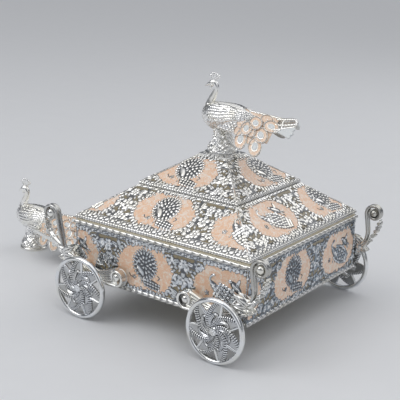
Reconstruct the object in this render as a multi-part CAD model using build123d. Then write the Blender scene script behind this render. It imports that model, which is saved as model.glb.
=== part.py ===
from build123d import *
import math
import os

# A chariot-shaped box for betel leaf and nuts, in silver-plated sheet and castings.
# Millimetres. +Z is up, the chariot travels towards -X, its left side is -Y and its right side +Y.
# The pieces are built about the middle of the box on the ground, and moved at the end so that
# the origin is the middle of the whole footprint.

# ---- Box ---------------------------------------------------------------------------------
WALL_SIDE = 151.0            # over the outer faces of the four stamped wall panels
PANEL_SHEET = 0.9            # sheet of the stamped wall and lid panels
AXLE_HEADROOM = 1.8          # underside of the foot moulding above the middle of the axles
LEDGE_HEIGHT = 0.5           # ledge of the foot moulding that the walls and the base plate stand on
LEDGE_DEPTH = 3.6
FOOT_PROUD = 1.2             # foot moulding outside the wall panels
FOOT_HEIGHT = 3.4
WALL_HEIGHT = 40.4
RIM_PROUD = 1.6              # top rim outside the wall panels
RIM_HEIGHT = 2.9
BASE_SHEET = 1.0
CORNER_LEG = 7.0              # corner angles behind the wall seams
CORNER_SHEET = 0.8
CORNER_MARGIN = 3.0           # corner angles stop this far from the top of the walls

# ---- Inner tray --------------------------------------------------------------------------
TRAY_SHEET = 0.8
TRAY_GAP = 2.6               # between a wall panel and the side of the tray
TRAY_FLOOR_GAP = 1.6         # between the base plate and the bottom of the tray
TRAY_FLANGE = 3.0            # flange that lies on the top rim

# ---- Lid ---------------------------------------------------------------------------------
LID_OVERHANG = 0.5           # lid rim outside the wall panels
LID_SEAT_GAP = 0.3           # lid rim above the tray flange
LID_RIM_HEIGHT = 2.8
LID_PANEL_INSET = 0.8        # lower panels inside the outer face of the lid rim
LOWER_TIER_RISE = 22.4
RIDGE_SIDE = 86.8            # over the ridge moulding between the tiers
RIDGE_HEIGHT = 2.2
RIDGE_STEP = 0.6             # ridge moulding outside the panels above and below it
RIDGE_BAR = 2.6
UPPER_TIER_RISE = 20.0
CAP_SIDE = 25.0
CAP_SHEET = 1.2
CAP_COLLAR_HEIGHT = 1.4
CAP_COLLAR_RADIUS = 12.3
COLLAR_SHEET = 0.8           # strip inside the lid rim that locates the lid in the tray
COLLAR_DROP = 5.5
COLLAR_CLEARANCE = 0.3

# ---- Wheels and axles --------------------------------------------------------------------
WHEEL_RADIUS = 23.4
TYRE_RADIUS = 1.4            # half the thickness of the ring
WHEEL_OUTSET = 13.6          # middle of a wheel outside the side walls
WHEEL_INSET = 15.6           # axles inside the end walls
PETALS = 7
PETAL_THICKNESS = 1.8
PETAL_SWEEP = 68.0           # degrees that a petal turns back between its tip and the hub
PETAL_HALF_WIDTH = 3.7
PETAL_EYE = (1.5, 0.9)       # half sizes of the hole through each petal
HUB_RADIUS = 4.4
HUB_LENGTH = 4.6
BUSH_WALL = 0.9
AXLE_RADIUS = 1.5
RUNNING_CLEARANCE = 0.05
WASHER_RADIUS = 3.4
WASHER_THICKNESS = 0.7
BUTTON_HEIGHT = 1.3
END_PLAY = 0.15
FRONT_WHEEL_PHASE = -18.0    # degrees from the horizontal to one petal tip
REAR_WHEEL_PHASE = 25.0
SADDLE_INSET = 29.5          # saddles inside the side walls
SADDLE_LENGTH = 9.0
SADDLE_WIDTH = 15.0
SADDLE_HUB = 6.4
SADDLE_FLANGE = 1.2
SADDLE_RIVET_OFFSET = 5.3
RIVET_RADIUS = 0.8
RIVET_HEAD_RADIUS = 1.5
RIVET_HEAD_HEIGHT = 0.6

# ---- Scroll brackets ---------------------------------------------------------------------
BRACKET_STANDOFF = 0.4       # back of a bracket outside the top rim
BRACKET_DEPTH = 7.6
WEB_THICKNESS = 2.6
HORN_RIBBON = 1.3            # sheet of the horn between its two edge ribs
HORN_RIB = 2.5
HORN_RIB_DEPTH = 1.7
FRONT_HORN_REACH = 19.0      # centre of the top volute beyond the end wall
REAR_HORN_REACH = 13.0
HORN_RISE = 2.5              # centre of the top volute above the top rim
HORN_VOLUTE_RADIUS = 6.8
LOWER_VOLUTE_INSET = 45.0    # centre of the lower volute inside the end wall
LOWER_VOLUTE_RISE = 11.3     # and above the underside
LOWER_VOLUTE_RADIUS = 6.3
LOWER_RIB = 1.9
BALL_RADIUS = 3.3
LEAF_REACH = 4.5             # joint of horn and web beyond the end wall
LEAF_RISE = 19.8             # and above the underside
BRACKET_RIVET_INSETS = (29.5, 11.5)
BRACKET_RIVET_RISES = (9.3, 13.2)
BRACKET_RIVET_RADIUS = 1.2
BRACKET_RIVET_HEAD = 2.3
BRACKET_RIVET_HEAD_HEIGHT = 1.0
BOSS_RADIUS = 3.2

# ---- Peacocks ----------------------------------------------------------------------------
PEDESTAL_HEIGHT = 20.0       # to its highest point, inside the outline of the bird
PEDESTAL_RADIUS = 11.6
PEDESTAL_NECK = 6.6
BIRD_SECTIONS = (            # x, centre z, half height, half width of the body from breast to tail
    (-17.8, 26.6, 2.6, 2.4),
    (-15.0, 26.2, 6.6, 6.0),
    (-8.5, 25.6, 9.9, 9.2),
    (0.0, 25.7, 10.6, 10.6),
    (10.0, 26.4, 10.0, 10.2),
    (20.0, 26.6, 8.0, 8.2),
    (28.0, 26.2, 4.9, 5.6),
    (33.5, 26.6, 2.4, 3.0),
)
NECK_PATH = ((-12.0, 30.0), (-12.3, 34.5), (-9.7, 40.0), (-7.6, 45.0), (-9.6, 49.3))
NECK_RADII = (5.0, 3.2, 2.4, 2.0, 2.1)
HEAD = (-11.0, 48.8, 2.7)    # x, z and radius
BEAK_TIP = (-18.0, 45.6)
BEAK_RADIUS = 1.5
CREST_RADIUS = 6.6
CREST_THICKNESS = 1.3
CREST_ROOT = (-9.6, 50.6)
CREST_ANGLES = (38.0, 122.0) # degrees above +X that the fan covers
TAIL_SHEET = 1.2
TAIL_SLOPE = 50.0            # degrees that each side of the train falls below the horizontal
TAIL_SPINE_RADIUS = 1.5      # solder bead along the ridge of the train
TAIL_RIDGE = ((20.0, 32.0), (47.5, 30.0))
TAIL_EYES = (                # along the ridge, down the slope, half length, half width and angle
    (6.5, 23.0, 8.0, 4.8, 94.0),
    (17.5, 24.0, 9.0, 5.4, 88.0),
    (26.5, 18.0, 7.4, 4.8, 70.0),
    (30.5, 9.5, 5.6, 4.0, 45.0),
)
FAN_LENGTH = 15.0
FAN_LAP = 2.0                # fan under the end of the train
FAN_SLOPE = 46.0
FAN_TILT = 12.0              # degrees that the fan turns up from the ridge
FAN_EYES = (
    (12.0, 1.5, 3.2, 2.2, 0.0),
    (12.0, 6.5, 3.8, 2.8, 12.0),
    (9.5, 11.0, 4.4, 3.2, 40.0),
    (4.5, 12.0, 4.4, 3.2, 62.0),
)
DRAW_BIRD_REACH = 119.5      # front bird ahead of the end wall
DRAW_FOOT_HEIGHT = 2.5
DRAW_FOOT_RADIUS = 12.2
DRAW_TAIL_LIFT = 13.0        # degrees that the front bird's train is lifted
STUD_RADIUS = 1.5
STUD_CLEARANCE = 0.05
STUD_DEPTH = 8.0             # stud inside the body of a bird
NUT_ACROSS_FLATS = 7.0
NUT_HEIGHT = 2.6

# ---- Draw arms ---------------------------------------------------------------------------
ARM_WIDTH = 3.2
ARM_THICKNESS = 2.0
ARM_BIRD_Z = 15.5            # on the neck of the front pedestal
ARM_BIRD_Y = 3.2
ARM_BRACKET_REACH = 4.0      # far end of an arm ahead of the end wall
ARM_BRACKET_RISE = 21.3      # and above the underside

# ---- Worked out from the sizes above -----------------------------------------------------
WALL_HALF = WALL_SIDE / 2
UNDERSIDE_Z = WHEEL_RADIUS + AXLE_HEADROOM
WALL_BASE_Z = UNDERSIDE_Z + LEDGE_HEIGHT
WALL_TOP_Z = WALL_BASE_Z + WALL_HEIGHT
RIM_TOP_Z = WALL_TOP_Z + RIM_HEIGHT
TRAY_HALF = WALL_HALF - PANEL_SHEET - TRAY_GAP
TRAY_BASE_Z = WALL_BASE_Z + BASE_SHEET + TRAY_FLOOR_GAP
TRAY_TOP_Z = RIM_TOP_Z + TRAY_SHEET
LID_BASE_Z = TRAY_TOP_Z + LID_SEAT_GAP
LID_HALF = WALL_HALF + LID_OVERHANG
COLLAR_HALF = TRAY_HALF - TRAY_SHEET - COLLAR_CLEARANCE
LOWER_TIER_Z = LID_BASE_Z + LID_RIM_HEIGHT
RIDGE_Z = LOWER_TIER_Z + LOWER_TIER_RISE
UPPER_TIER_Z = RIDGE_Z + RIDGE_HEIGHT
CAP_Z = UPPER_TIER_Z + UPPER_TIER_RISE
KNOB_Z = CAP_Z + CAP_SHEET + CAP_COLLAR_HEIGHT
RIDGE_HALF = RIDGE_SIDE / 2
WHEEL_HALF_BASE = WALL_HALF - WHEEL_INSET
WHEEL_PLANE_Y = WALL_HALF + WHEEL_OUTSET
SADDLE_Y = WALL_HALF - SADDLE_INSET
BRACKET_BACK_Y = WALL_HALF + RIM_PROUD + BRACKET_STANDOFF
HORN_Z = RIM_TOP_Z + HORN_RISE
LEAF_X = WALL_HALF + LEAF_REACH
LEAF_Z = UNDERSIDE_Z + LEAF_RISE
LOWER_VOLUTE_X = WALL_HALF - LOWER_VOLUTE_INSET
LOWER_VOLUTE_Z = UNDERSIDE_Z + LOWER_VOLUTE_RISE
DRAW_BIRD_X = -WALL_HALF - DRAW_BIRD_REACH
HUB_BORE = AXLE_RADIUS + RUNNING_CLEARANCE + BUSH_WALL
FAR = 400.0                  # larger than the whole object


def block(x0, x1, y0, y1, z0, z1):
    """Box between the given planes."""
    return Pos((x0 + x1) / 2, (y0 + y1) / 2, (z0 + z1) / 2) * Box(x1 - x0, y1 - y0, z1 - z0)


def square_ring(outer_half, inner_half, z0, z1):
    """Square frame between two heights."""
    outer = block(-outer_half, outer_half, -outer_half, outer_half, z0, z1)
    return outer - block(-inner_half, inner_half, -inner_half, inner_half, z0 - 1, z1 + 1)


def pyramid(low_half, low_z, high_half, high_z):
    """Solid square pyramid stump."""
    low = Plane.XY.offset(low_z) * Rectangle(2 * low_half, 2 * low_half)
    high = Plane.XY.offset(high_z) * Rectangle(2 * high_half, 2 * high_half)
    return loft([low, high])


def quarter(side):
    """Wedge that holds one mitred side: 0 rear, 1 right, 2 front, 3 left."""
    triangle = Polygon((0, 0), (FAR, -FAR), (FAR, FAR), align=None)
    return Rot(0, 0, 90 * side) * extrude(Plane.XY.offset(-FAR) * triangle, 2 * FAR)


SIDES = {"rear": 0, "right": 1, "front": 2, "left": 3}


def mitred(shape):
    """The four mitred sides of a square frame or shell, by name."""
    return {name: shape & quarter(side) for name, side in SIDES.items()}


def rod_y(radius, y0, y1, x, z):
    """Cylinder along Y between two planes."""
    low, high = sorted((y0, y1))
    return Pos(x, (low + high) / 2, z) * Rot(90, 0, 0) * Cylinder(radius, high - low)


def rod_x(radius, x0, x1):
    """Cylinder along X from one place to another."""
    return Pos((x0 + x1) / 2, 0, 0) * Rot(0, 90, 0) * Cylinder(radius, x1 - x0)


def rod_z(radius, z0, z1, x=0.0, y=0.0):
    """Cylinder along Z between two heights."""
    return Pos(x, y, (z0 + z1) / 2) * Cylinder(radius, z1 - z0)


def band(points, widths):
    """Flat band along a smooth line, with widths given at even steps along it."""
    line = Spline(*points)
    one_side = []
    other_side = []
    for step, width in enumerate(widths):
        share = step / (len(widths) - 1)
        place = line @ share
        along = line % share
        across = Vector(-along.Y, along.X, 0) * (width / 2)
        one_side.append(place + across)
        other_side.append(place - across)
    edges = [Spline(*one_side), Line(one_side[-1], other_side[-1])]
    edges += [Spline(*other_side), Line(other_side[0], one_side[0])]
    return make_face(Curve() + edges)


def volute(centre, radius, start, turn, inner_radius, steps):
    """Points of a spiral that winds in clockwise from an angle in degrees."""
    points = []
    for step in range(steps + 1):
        share = step / steps
        angle = math.radians(start - turn * share)
        reach = radius + (inner_radius - radius) * share
        points.append((centre[0] + reach * math.cos(angle), centre[1] + reach * math.sin(angle)))
    return points


def largest(shape):
    """The piece that is wanted, without the chips that a cut leaves."""
    return max(shape.solids(), key=lambda solid: solid.volume)


def outward(face, start, depth):
    """Extrude a face drawn in X and Z from a distance off the middle towards the left side."""
    return extrude(Plane.XZ.offset(start) * face, depth)


# ---- Box pieces ----------------------------------------------------------------------------
def bracket_rivet_places():
    """Middle of each bracket rivet, as x sign, y sign, x and z."""
    return [(sx, sy, sx * (WALL_HALF - inset), UNDERSIDE_Z + rise) for sx in (-1, 1) for sy in (-1, 1)
            for inset, rise in zip(BRACKET_RIVET_INSETS, BRACKET_RIVET_RISES)]


def wall_panels():
    shell = square_ring(WALL_HALF, WALL_HALF - PANEL_SHEET, WALL_BASE_Z, WALL_TOP_Z)
    for _, sy, x, z in bracket_rivet_places():
        inner = sy * (WALL_HALF - PANEL_SHEET - 1)
        shell -= rod_y(BRACKET_RIVET_RADIUS, inner, sy * (WALL_HALF + 1), x, z)
    return mitred(shell)


def foot_moulding():
    ledge_half = WALL_HALF - LEDGE_DEPTH
    ring = square_ring(WALL_HALF + FOOT_PROUD, ledge_half, UNDERSIDE_Z, UNDERSIDE_Z + FOOT_HEIGHT)
    ring -= block(-WALL_HALF, WALL_HALF, -WALL_HALF, WALL_HALF, WALL_BASE_Z, WALL_TOP_Z)
    outer = [edge for edge in ring.edges()
             if max(abs(edge.center().X), abs(edge.center().Y)) > WALL_HALF + 0.9 * FOOT_PROUD
             and edge.center().Z > WALL_BASE_Z + LEDGE_HEIGHT and abs(edge.tangent_at(0.5).Z) < 0.5]
    return mitred(fillet(outer, 0.8 * FOOT_PROUD))


def top_rim():
    ring = square_ring(WALL_HALF + RIM_PROUD, TRAY_HALF, WALL_TOP_Z, RIM_TOP_Z)
    outer = [edge for edge in ring.edges()
             if max(abs(edge.center().X), abs(edge.center().Y)) > WALL_HALF + 0.9 * RIM_PROUD
             and abs(edge.tangent_at(0.5).Z) < 0.5]
    return mitred(fillet(outer, 0.7 * RIM_PROUD))


def base_plate():
    half = WALL_HALF - PANEL_SHEET
    plate = block(-half, half, -half, half, WALL_BASE_Z, WALL_BASE_Z + BASE_SHEET)
    for x, y in saddle_rivet_places():
        plate -= rod_z(RIVET_RADIUS, 0, WALL_TOP_Z, x, y)
    return plate


def corner_angles():
    """Folded angles behind the four upright seams."""
    inner = WALL_HALF - PANEL_SHEET
    low = WALL_BASE_Z + BASE_SHEET
    high = WALL_TOP_Z - CORNER_MARGIN
    angles = []
    for sx in (-1, 1):
        for sy in (-1, 1):
            legs = []
            for dx, dy in ((CORNER_LEG, CORNER_SHEET), (CORNER_SHEET, CORNER_LEG)):
                xs = sorted((sx * inner, sx * (inner - dx)))
                ys = sorted((sy * inner, sy * (inner - dy)))
                legs.append(block(*xs, *ys, low, high))
            angles.append(legs[0] + legs[1])
    return Compound(children=angles)


def inner_tray():
    outer = block(-TRAY_HALF, TRAY_HALF, -TRAY_HALF, TRAY_HALF, TRAY_BASE_Z, TRAY_TOP_Z)
    flange_half = TRAY_HALF + TRAY_FLANGE
    outer += block(-flange_half, flange_half, -flange_half, flange_half, RIM_TOP_Z, TRAY_TOP_Z)
    room = TRAY_HALF - TRAY_SHEET
    return outer - block(-room, room, -room, room, TRAY_BASE_Z + TRAY_SHEET, TRAY_TOP_Z + 1)


# ---- Axles and wheels ----------------------------------------------------------------------
HUB_INNER_Y = WHEEL_PLANE_Y - HUB_LENGTH / 2
HUB_OUTER_Y = WHEEL_PLANE_Y + HUB_LENGTH / 2
AXLE_END_Y = HUB_OUTER_Y + END_PLAY


def axle(x):
    return rod_y(AXLE_RADIUS, -AXLE_END_Y, AXLE_END_Y, x, WHEEL_RADIUS)


def axle_washers():
    """Stop collars inside the four hubs."""
    washers = []
    for sx in (-1, 1):
        for sy in (-1, 1):
            high = HUB_INNER_Y - END_PLAY
            collar = rod_y(WASHER_RADIUS, sy * (high - WASHER_THICKNESS), sy * high,
                           sx * WHEEL_HALF_BASE, WHEEL_RADIUS)
            washers.append(collar - axle(sx * WHEEL_HALF_BASE))
    return Compound(children=washers)


def axle_buttons():
    """Domed buttons on the axle ends that keep the wheels on."""
    buttons = []
    for sx in (-1, 1):
        for sy in (-1, 1):
            button = Pos(sx * WHEEL_HALF_BASE, 0, WHEEL_RADIUS) * Rot(sy * -90, 0, 0)
            dome_radius = (WASHER_RADIUS ** 2 + BUTTON_HEIGHT ** 2) / (2 * BUTTON_HEIGHT)
            dome = Pos(0, 0, AXLE_END_Y + BUTTON_HEIGHT - dome_radius) * Sphere(dome_radius)
            button *= dome & rod_z(WASHER_RADIUS, AXLE_END_Y, AXLE_END_Y + BUTTON_HEIGHT)
            buttons.append(button)
    return Compound(children=buttons)


def saddle_rivet_places():
    return [(sx * WHEEL_HALF_BASE + side * SADDLE_RIVET_OFFSET, sy * SADDLE_Y)
            for sx in (-1, 1) for sy in (-1, 1) for side in (-1, 1)]


def axle_saddles():
    """Blocks under the base plate that hold the axles."""
    saddles = []
    for sx in (-1, 1):
        for sy in (-1, 1):
            x = sx * WHEEL_HALF_BASE
            y0, y1 = sy * SADDLE_Y - SADDLE_LENGTH / 2, sy * SADDLE_Y + SADDLE_LENGTH / 2
            flange = block(x - SADDLE_WIDTH / 2, x + SADDLE_WIDTH / 2, y0, y1,
                           WALL_BASE_Z - SADDLE_FLANGE, WALL_BASE_Z)
            room = block(x - SADDLE_HUB / 2, x + SADDLE_HUB / 2, y0, y1, 0, WALL_BASE_Z)
            body = rod_y(SADDLE_HUB / 2, y0, y1, x, WHEEL_RADIUS)
            body += block(x - SADDLE_HUB / 2, x + SADDLE_HUB / 2, y0, y1, WHEEL_RADIUS, WALL_BASE_Z)
            saddle = flange + (body & room) - rod_y(AXLE_RADIUS, y0 - 1, y1 + 1, x, WHEEL_RADIUS)
            for side in (-1, 1):
                saddle -= rod_z(RIVET_RADIUS, 0, WALL_TOP_Z, x + side * SADDLE_RIVET_OFFSET,
                                sy * SADDLE_Y)
            saddles.append(saddle)
    return Compound(children=saddles)


def saddle_rivets():
    low = WALL_BASE_Z - SADDLE_FLANGE
    high = WALL_BASE_Z + BASE_SHEET
    rivets = []
    for x, y in saddle_rivet_places():
        rivet = rod_z(RIVET_RADIUS, low, high, x, y)
        rivet += rod_z(RIVET_HEAD_RADIUS, low - RIVET_HEAD_HEIGHT, low, x, y)
        rivet += rod_z(RIVET_HEAD_RADIUS, high, high + RIVET_HEAD_HEIGHT, x, y)
        rivets.append(rivet)
    return Compound(children=rivets)


def petal(tip_angle):
    """One swirling petal of the wheel, drawn about the hub, with its tip at an angle."""
    tip_radius = WHEEL_RADIUS - TYRE_RADIUS
    root_radius = 0.6 * HUB_RADIUS
    points = []
    for step in range(6):
        share = step / 5
        reach = root_radius + (tip_radius - root_radius) * share
        angle = math.radians(tip_angle + PETAL_SWEEP * (1 - share) ** 1.3)
        points.append((reach * math.cos(angle), reach * math.sin(angle)))
    full = 2 * PETAL_HALF_WIDTH
    shape = band(points, (0.35 * full, 0.6 * full, 0.95 * full, full, 0.8 * full, 0.12 * full))
    spine = Spline(*points)
    middle = spine @ 0.6
    along = spine % 0.6
    eye = Rot(0, 0, math.degrees(math.atan2(along.Y, along.X))) * Ellipse(*PETAL_EYE)
    return shape - Pos(middle.X, middle.Y) * eye


def wheel(phase):
    """Left-hand wheel about its own centre: ring, petals and hub in one casting."""
    casting = Rot(90, 0, 0) * Torus(WHEEL_RADIUS - TYRE_RADIUS, TYRE_RADIUS)
    hub = rod_y(HUB_RADIUS, -HUB_LENGTH / 2, HUB_LENGTH / 2, 0, 0)
    for number in range(PETALS):
        tip_angle = phase + number * 360 / PETALS
        casting += outward(petal(tip_angle), -PETAL_THICKNESS / 2, PETAL_THICKNESS)
    return casting + hub - rod_y(HUB_BORE, -HUB_LENGTH, HUB_LENGTH, 0, 0)


def wheel_bush():
    bush = rod_y(HUB_BORE, -HUB_LENGTH / 2, HUB_LENGTH / 2, 0, 0)
    return bush - rod_y(AXLE_RADIUS + RUNNING_CLEARANCE, -HUB_LENGTH, HUB_LENGTH, 0, 0)


# ---- Scroll brackets -----------------------------------------------------------------------
def scroll_bracket(horn_x):
    """Rear left bracket, with the centre of its top volute at the given distance from the middle."""
    centre = (horn_x, HORN_Z)
    curl = volute(centre, HORN_VOLUTE_RADIUS, 180, 400, BALL_RADIUS + 0.4, 9)
    stem = [(LEAF_X + 1.5, LEAF_Z + 1.5), (LEAF_X + 4.0, LEAF_Z + 9.0),
            ((LEAF_X + 4.5 + curl[0][0]) / 2, LEAF_Z + 18.0)]
    horn = stem + curl
    thin = band(horn, [HORN_RIBBON] * 17)
    thick = band(horn, [HORN_RIB] * 17)
    back_rib = outward(thick, BRACKET_BACK_Y, HORN_RIB_DEPTH)
    front_rib = outward(thick, BRACKET_BACK_Y + BRACKET_DEPTH - HORN_RIB_DEPTH, HORN_RIB_DEPTH)
    ribbon = outward(thin, BRACKET_BACK_Y, BRACKET_DEPTH)
    bracket = ribbon + back_rib + front_rib

    leaf_stem = band(((LEAF_X + 4.0, LEAF_Z + 4.0), (horn_x + 1.5, LEAF_Z + 11.0),
                      (horn_x + 5.2, LEAF_Z + 17.5), (horn_x + 5.8, HORN_Z - 4.0)),
                     (4.6, 4.0, 3.0, 2.0, 1.6))
    bracket += outward(leaf_stem, BRACKET_BACK_Y + 1.5, BRACKET_DEPTH - 3.0)

    leaf = band(((LEAF_X - 9.0, LEAF_Z - 4.5), (LEAF_X - 3.0, LEAF_Z - 2.0),
                 (LEAF_X + 2.0, LEAF_Z + 2.5), (LEAF_X + 4.5, LEAF_Z + 9.0)),
                (8.5, 11.0, 12.0, 9.0, 3.0))
    bracket += outward(leaf, BRACKET_BACK_Y, BRACKET_DEPTH - 1.0)

    web = band(((LEAF_X - 3.0, LEAF_Z - 2.0), (LEAF_X - 18.0, LEAF_Z - 7.3),
                (LOWER_VOLUTE_X + 17.5, LOWER_VOLUTE_Z - 2.3), (LOWER_VOLUTE_X + 2.0, LOWER_VOLUTE_Z)),
               (10.0, 7.2, 7.0, 11.5, 11.0))
    bracket += outward(web, BRACKET_BACK_Y, WEB_THICKNESS)

    lower = (LOWER_VOLUTE_X, LOWER_VOLUTE_Z)
    sole = [(LEAF_X - 5.0, LEAF_Z - 7.0), (LEAF_X - 18.0, LEAF_Z - 10.8),
            (LOWER_VOLUTE_X + 17.5, LOWER_VOLUTE_Z - 5.9)]
    sole += volute(lower, LOWER_VOLUTE_RADIUS, -75, 330, BALL_RADIUS + 0.4, 9)
    bracket += outward(band(sole, [LOWER_RIB] * 17), BRACKET_BACK_Y, BRACKET_DEPTH)

    for x, z in (centre, lower):
        ball = Pos(x, -(BRACKET_BACK_Y + BRACKET_DEPTH - BALL_RADIUS), z) * Sphere(BALL_RADIUS)
        bracket += ball + rod_y(0.8 * BALL_RADIUS, -BRACKET_BACK_Y,
                                -(BRACKET_BACK_Y + BRACKET_DEPTH - BALL_RADIUS), x, z)
    for sx, sy, x, z in bracket_rivet_places():
        if (sx, sy) == (1, -1):
            bracket += rod_y(BOSS_RADIUS, -WALL_HALF, -(BRACKET_BACK_Y + WEB_THICKNESS), x, z)
            bracket -= rod_y(BRACKET_RIVET_RADIUS, -WALL_HALF + 1, -FAR, x, z)
    return bracket


def bracket_rivets():
    rivets = []
    inner = WALL_HALF - PANEL_SHEET
    outer = BRACKET_BACK_Y + WEB_THICKNESS
    for _, sy, x, z in bracket_rivet_places():
        rivet = rod_y(BRACKET_RIVET_RADIUS, sy * inner, sy * outer, x, z)
        rivet += rod_y(BRACKET_RIVET_HEAD, sy * outer, sy * (outer + BRACKET_RIVET_HEAD_HEIGHT), x, z)
        rivet += rod_y(BRACKET_RIVET_HEAD, sy * (inner - BRACKET_RIVET_HEAD_HEIGHT), sy * inner, x, z)
        rivets.append(rivet)
    return Compound(children=rivets)


# ---- Lid -----------------------------------------------------------------------------------
def lid_rim():
    ring = square_ring(LID_HALF, COLLAR_HALF, LID_BASE_Z, LOWER_TIER_Z)
    outer = [edge for edge in ring.edges()
             if max(abs(edge.center().X), abs(edge.center().Y)) > LID_HALF - 0.1
             and abs(edge.tangent_at(0.5).Z) < 0.5]
    return mitred(fillet(outer, 0.35 * LID_RIM_HEIGHT))


def lid_collar():
    """Four strips inside the lid rim that find the mouth of the tray."""
    inner = COLLAR_HALF - COLLAR_SHEET
    return mitred(square_ring(COLLAR_HALF, inner, LID_BASE_Z - COLLAR_DROP, LOWER_TIER_Z))


def tier_panels(low_half, low_z, high_half, high_z):
    """Four mitred sloping panels of one tier."""
    outer = pyramid(low_half, low_z, high_half, high_z)
    slope = math.atan2(high_z - low_z, low_half - high_half)
    inset = PANEL_SHEET / math.sin(slope)
    inner = pyramid(low_half - inset, low_z, high_half - inset, high_z)
    return mitred(outer - inner)


def ridge_moulding():
    ring = square_ring(RIDGE_HALF, RIDGE_HALF - RIDGE_BAR, RIDGE_Z, UPPER_TIER_Z)
    outer = [edge for edge in ring.edges()
             if max(abs(edge.center().X), abs(edge.center().Y)) > RIDGE_HALF - 0.1
             and abs(edge.tangent_at(0.5).Z) < 0.5]
    return mitred(fillet(outer, 0.45 * RIDGE_HEIGHT))


def lid_cap():
    plate = block(-CAP_SIDE / 2, CAP_SIDE / 2, -CAP_SIDE / 2, CAP_SIDE / 2, CAP_Z, CAP_Z + CAP_SHEET)
    plate += rod_z(CAP_COLLAR_RADIUS, CAP_Z + CAP_SHEET, KNOB_Z)
    return plate - rod_z(STUD_RADIUS + STUD_CLEARANCE, 0, FAR)


# ---- Peacocks ------------------------------------------------------------------------------
def bird_body():
    """Body, neck, head and beak as one casting, about the middle of its pedestal."""
    sections = [Plane((x, 0, z), x_dir=(0, 1, 0), z_dir=(1, 0, 0)) * Ellipse(wide, high)
                for x, z, high, wide in BIRD_SECTIONS]
    body = loft(sections)
    path = Spline(*[(x, 0, z) for x, z in NECK_PATH])
    rings = []
    for step, radius in enumerate(NECK_RADII):
        share = step / (len(NECK_RADII) - 1)
        rings.append(Plane(path @ share, x_dir=(0, 1, 0), z_dir=path % share) * Circle(radius))
    body += loft(rings)
    head_x, head_z, head_radius = HEAD
    body += Pos(head_x, 0, head_z) * Sphere(head_radius)
    reach = Vector(BEAK_TIP[0] - head_x, 0, BEAK_TIP[1] - head_z)
    beak_plane = Plane((head_x, 0, head_z), z_dir=reach)
    beak = extrude(beak_plane * Circle(BEAK_RADIUS), reach.length, taper=8)
    body += beak
    return body


def pedestal(body):
    """Flared rocky foot, hollowed to the belly that sits on it."""
    outline = Polyline((0, 0), (PEDESTAL_RADIUS, 0), (PEDESTAL_RADIUS, 1.2))
    flare = Spline((PEDESTAL_RADIUS, 1.2), (9.4, 4.6), (PEDESTAL_NECK + 0.4, 9.0), (PEDESTAL_NECK, 13.0),
                   (PEDESTAL_NECK + 0.9, PEDESTAL_HEIGHT))
    close = Polyline((PEDESTAL_NECK + 0.9, PEDESTAL_HEIGHT), (0, PEDESTAL_HEIGHT), (0, 0))
    profile = make_face(Curve() + [outline, flare, close])
    foot = revolve(Plane.XZ * profile, Axis.Z)
    return foot - body - rod_z(STUD_RADIUS + STUD_CLEARANCE, -1, PEDESTAL_HEIGHT + 1)


def belly_z(body):
    """Lowest point of the body over the pedestal."""
    return (body & rod_z(PEDESTAL_NECK, 0, FAR)).bounding_box().min.Z


def feathers(eyes, hand):
    """Feather ends on one side of the train, each an oval."""
    ovals = []
    for x, y, half_length, half_width, angle in eyes:
        ovals.append(Pos(x, hand * y) * Rot(0, 0, hand * angle) * Ellipse(half_length, half_width))
    return ovals


def train_side(hand):
    """One side of the train, drawn flat: distance along the ridge and down the slope."""
    length = TAIL_RIDGE[1][0] - TAIL_RIDGE[0][0]
    sheet = Polygon((0, 0), (2.0, hand * 17.0), (length, hand * 17.0), (length, 0), align=None)
    for oval in feathers(TAIL_EYES, hand):
        sheet += oval
    return extrude(sheet, TAIL_SHEET, dir=(0, 0, 1))


def fan_side(hand):
    """One half of the fan at the end of the train."""
    sheet = Polygon((-FAN_LAP, 0), (-FAN_LAP, hand * 6.5), (FAN_LENGTH - 4.0, hand * 8.0),
                    (FAN_LENGTH - 1.0, 0), align=None)
    for oval in feathers(FAN_EYES, hand):
        sheet += oval
    return extrude(sheet, TAIL_SHEET, dir=(0, 0, 1))


def train(body, lift):
    """Gabled train with hanging lobes and an end fan, trimmed to the body it is soldered to."""
    (x0, z0), (x1, z1) = TAIL_RIDGE
    fall = math.degrees(math.atan2(z0 - z1, x1 - x0)) - lift
    length = TAIL_RIDGE[1][0] - TAIL_RIDGE[0][0]
    ridge = Pos(x0, 0, z0) * Rot(0, fall, 0)
    tip = ridge * Pos(length, 0, 0) * Rot(0, -FAN_TILT, 0)
    shape = ridge * rod_x(TAIL_SPINE_RADIUS, 0, length + FAN_LAP)
    shape += tip * rod_x(TAIL_SPINE_RADIUS, -FAN_LAP, FAN_LENGTH - 3.0)
    for hand in (-1, 1):
        shape += ridge * Rot(-hand * TAIL_SLOPE, 0, 0) * train_side(hand)
        shape += tip * Rot(-hand * FAN_SLOPE, 0, 0) * fan_side(hand)
    return shape - body


def crest(body):
    """Fan of head feathers."""
    low, high = CREST_ANGLES
    x, z = CREST_ROOT
    turns = [math.radians(angle) for angle in (low, (low + high) / 2, high)]
    tips = [(x + CREST_RADIUS * math.cos(turn), z + CREST_RADIUS * math.sin(turn)) for turn in turns]
    outline = [Line((x - 0.5, z - 1.5), tips[2]), ThreePointArc(tips[2], tips[1], tips[0]),
               Line(tips[0], (x + 1.0, z - 1.2)), Line((x + 1.0, z - 1.2), (x - 0.5, z - 1.5))]
    fan = extrude(Plane.XZ.offset(-CREST_THICKNESS / 2) * make_face(Curve() + outline), CREST_THICKNESS)
    return fan - body


def bored(body):
    """Body with the blind hole for its stud."""
    low = belly_z(body)
    return body - rod_z(STUD_RADIUS + STUD_CLEARANCE, low - 1, low + STUD_DEPTH + 0.5)


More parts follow.
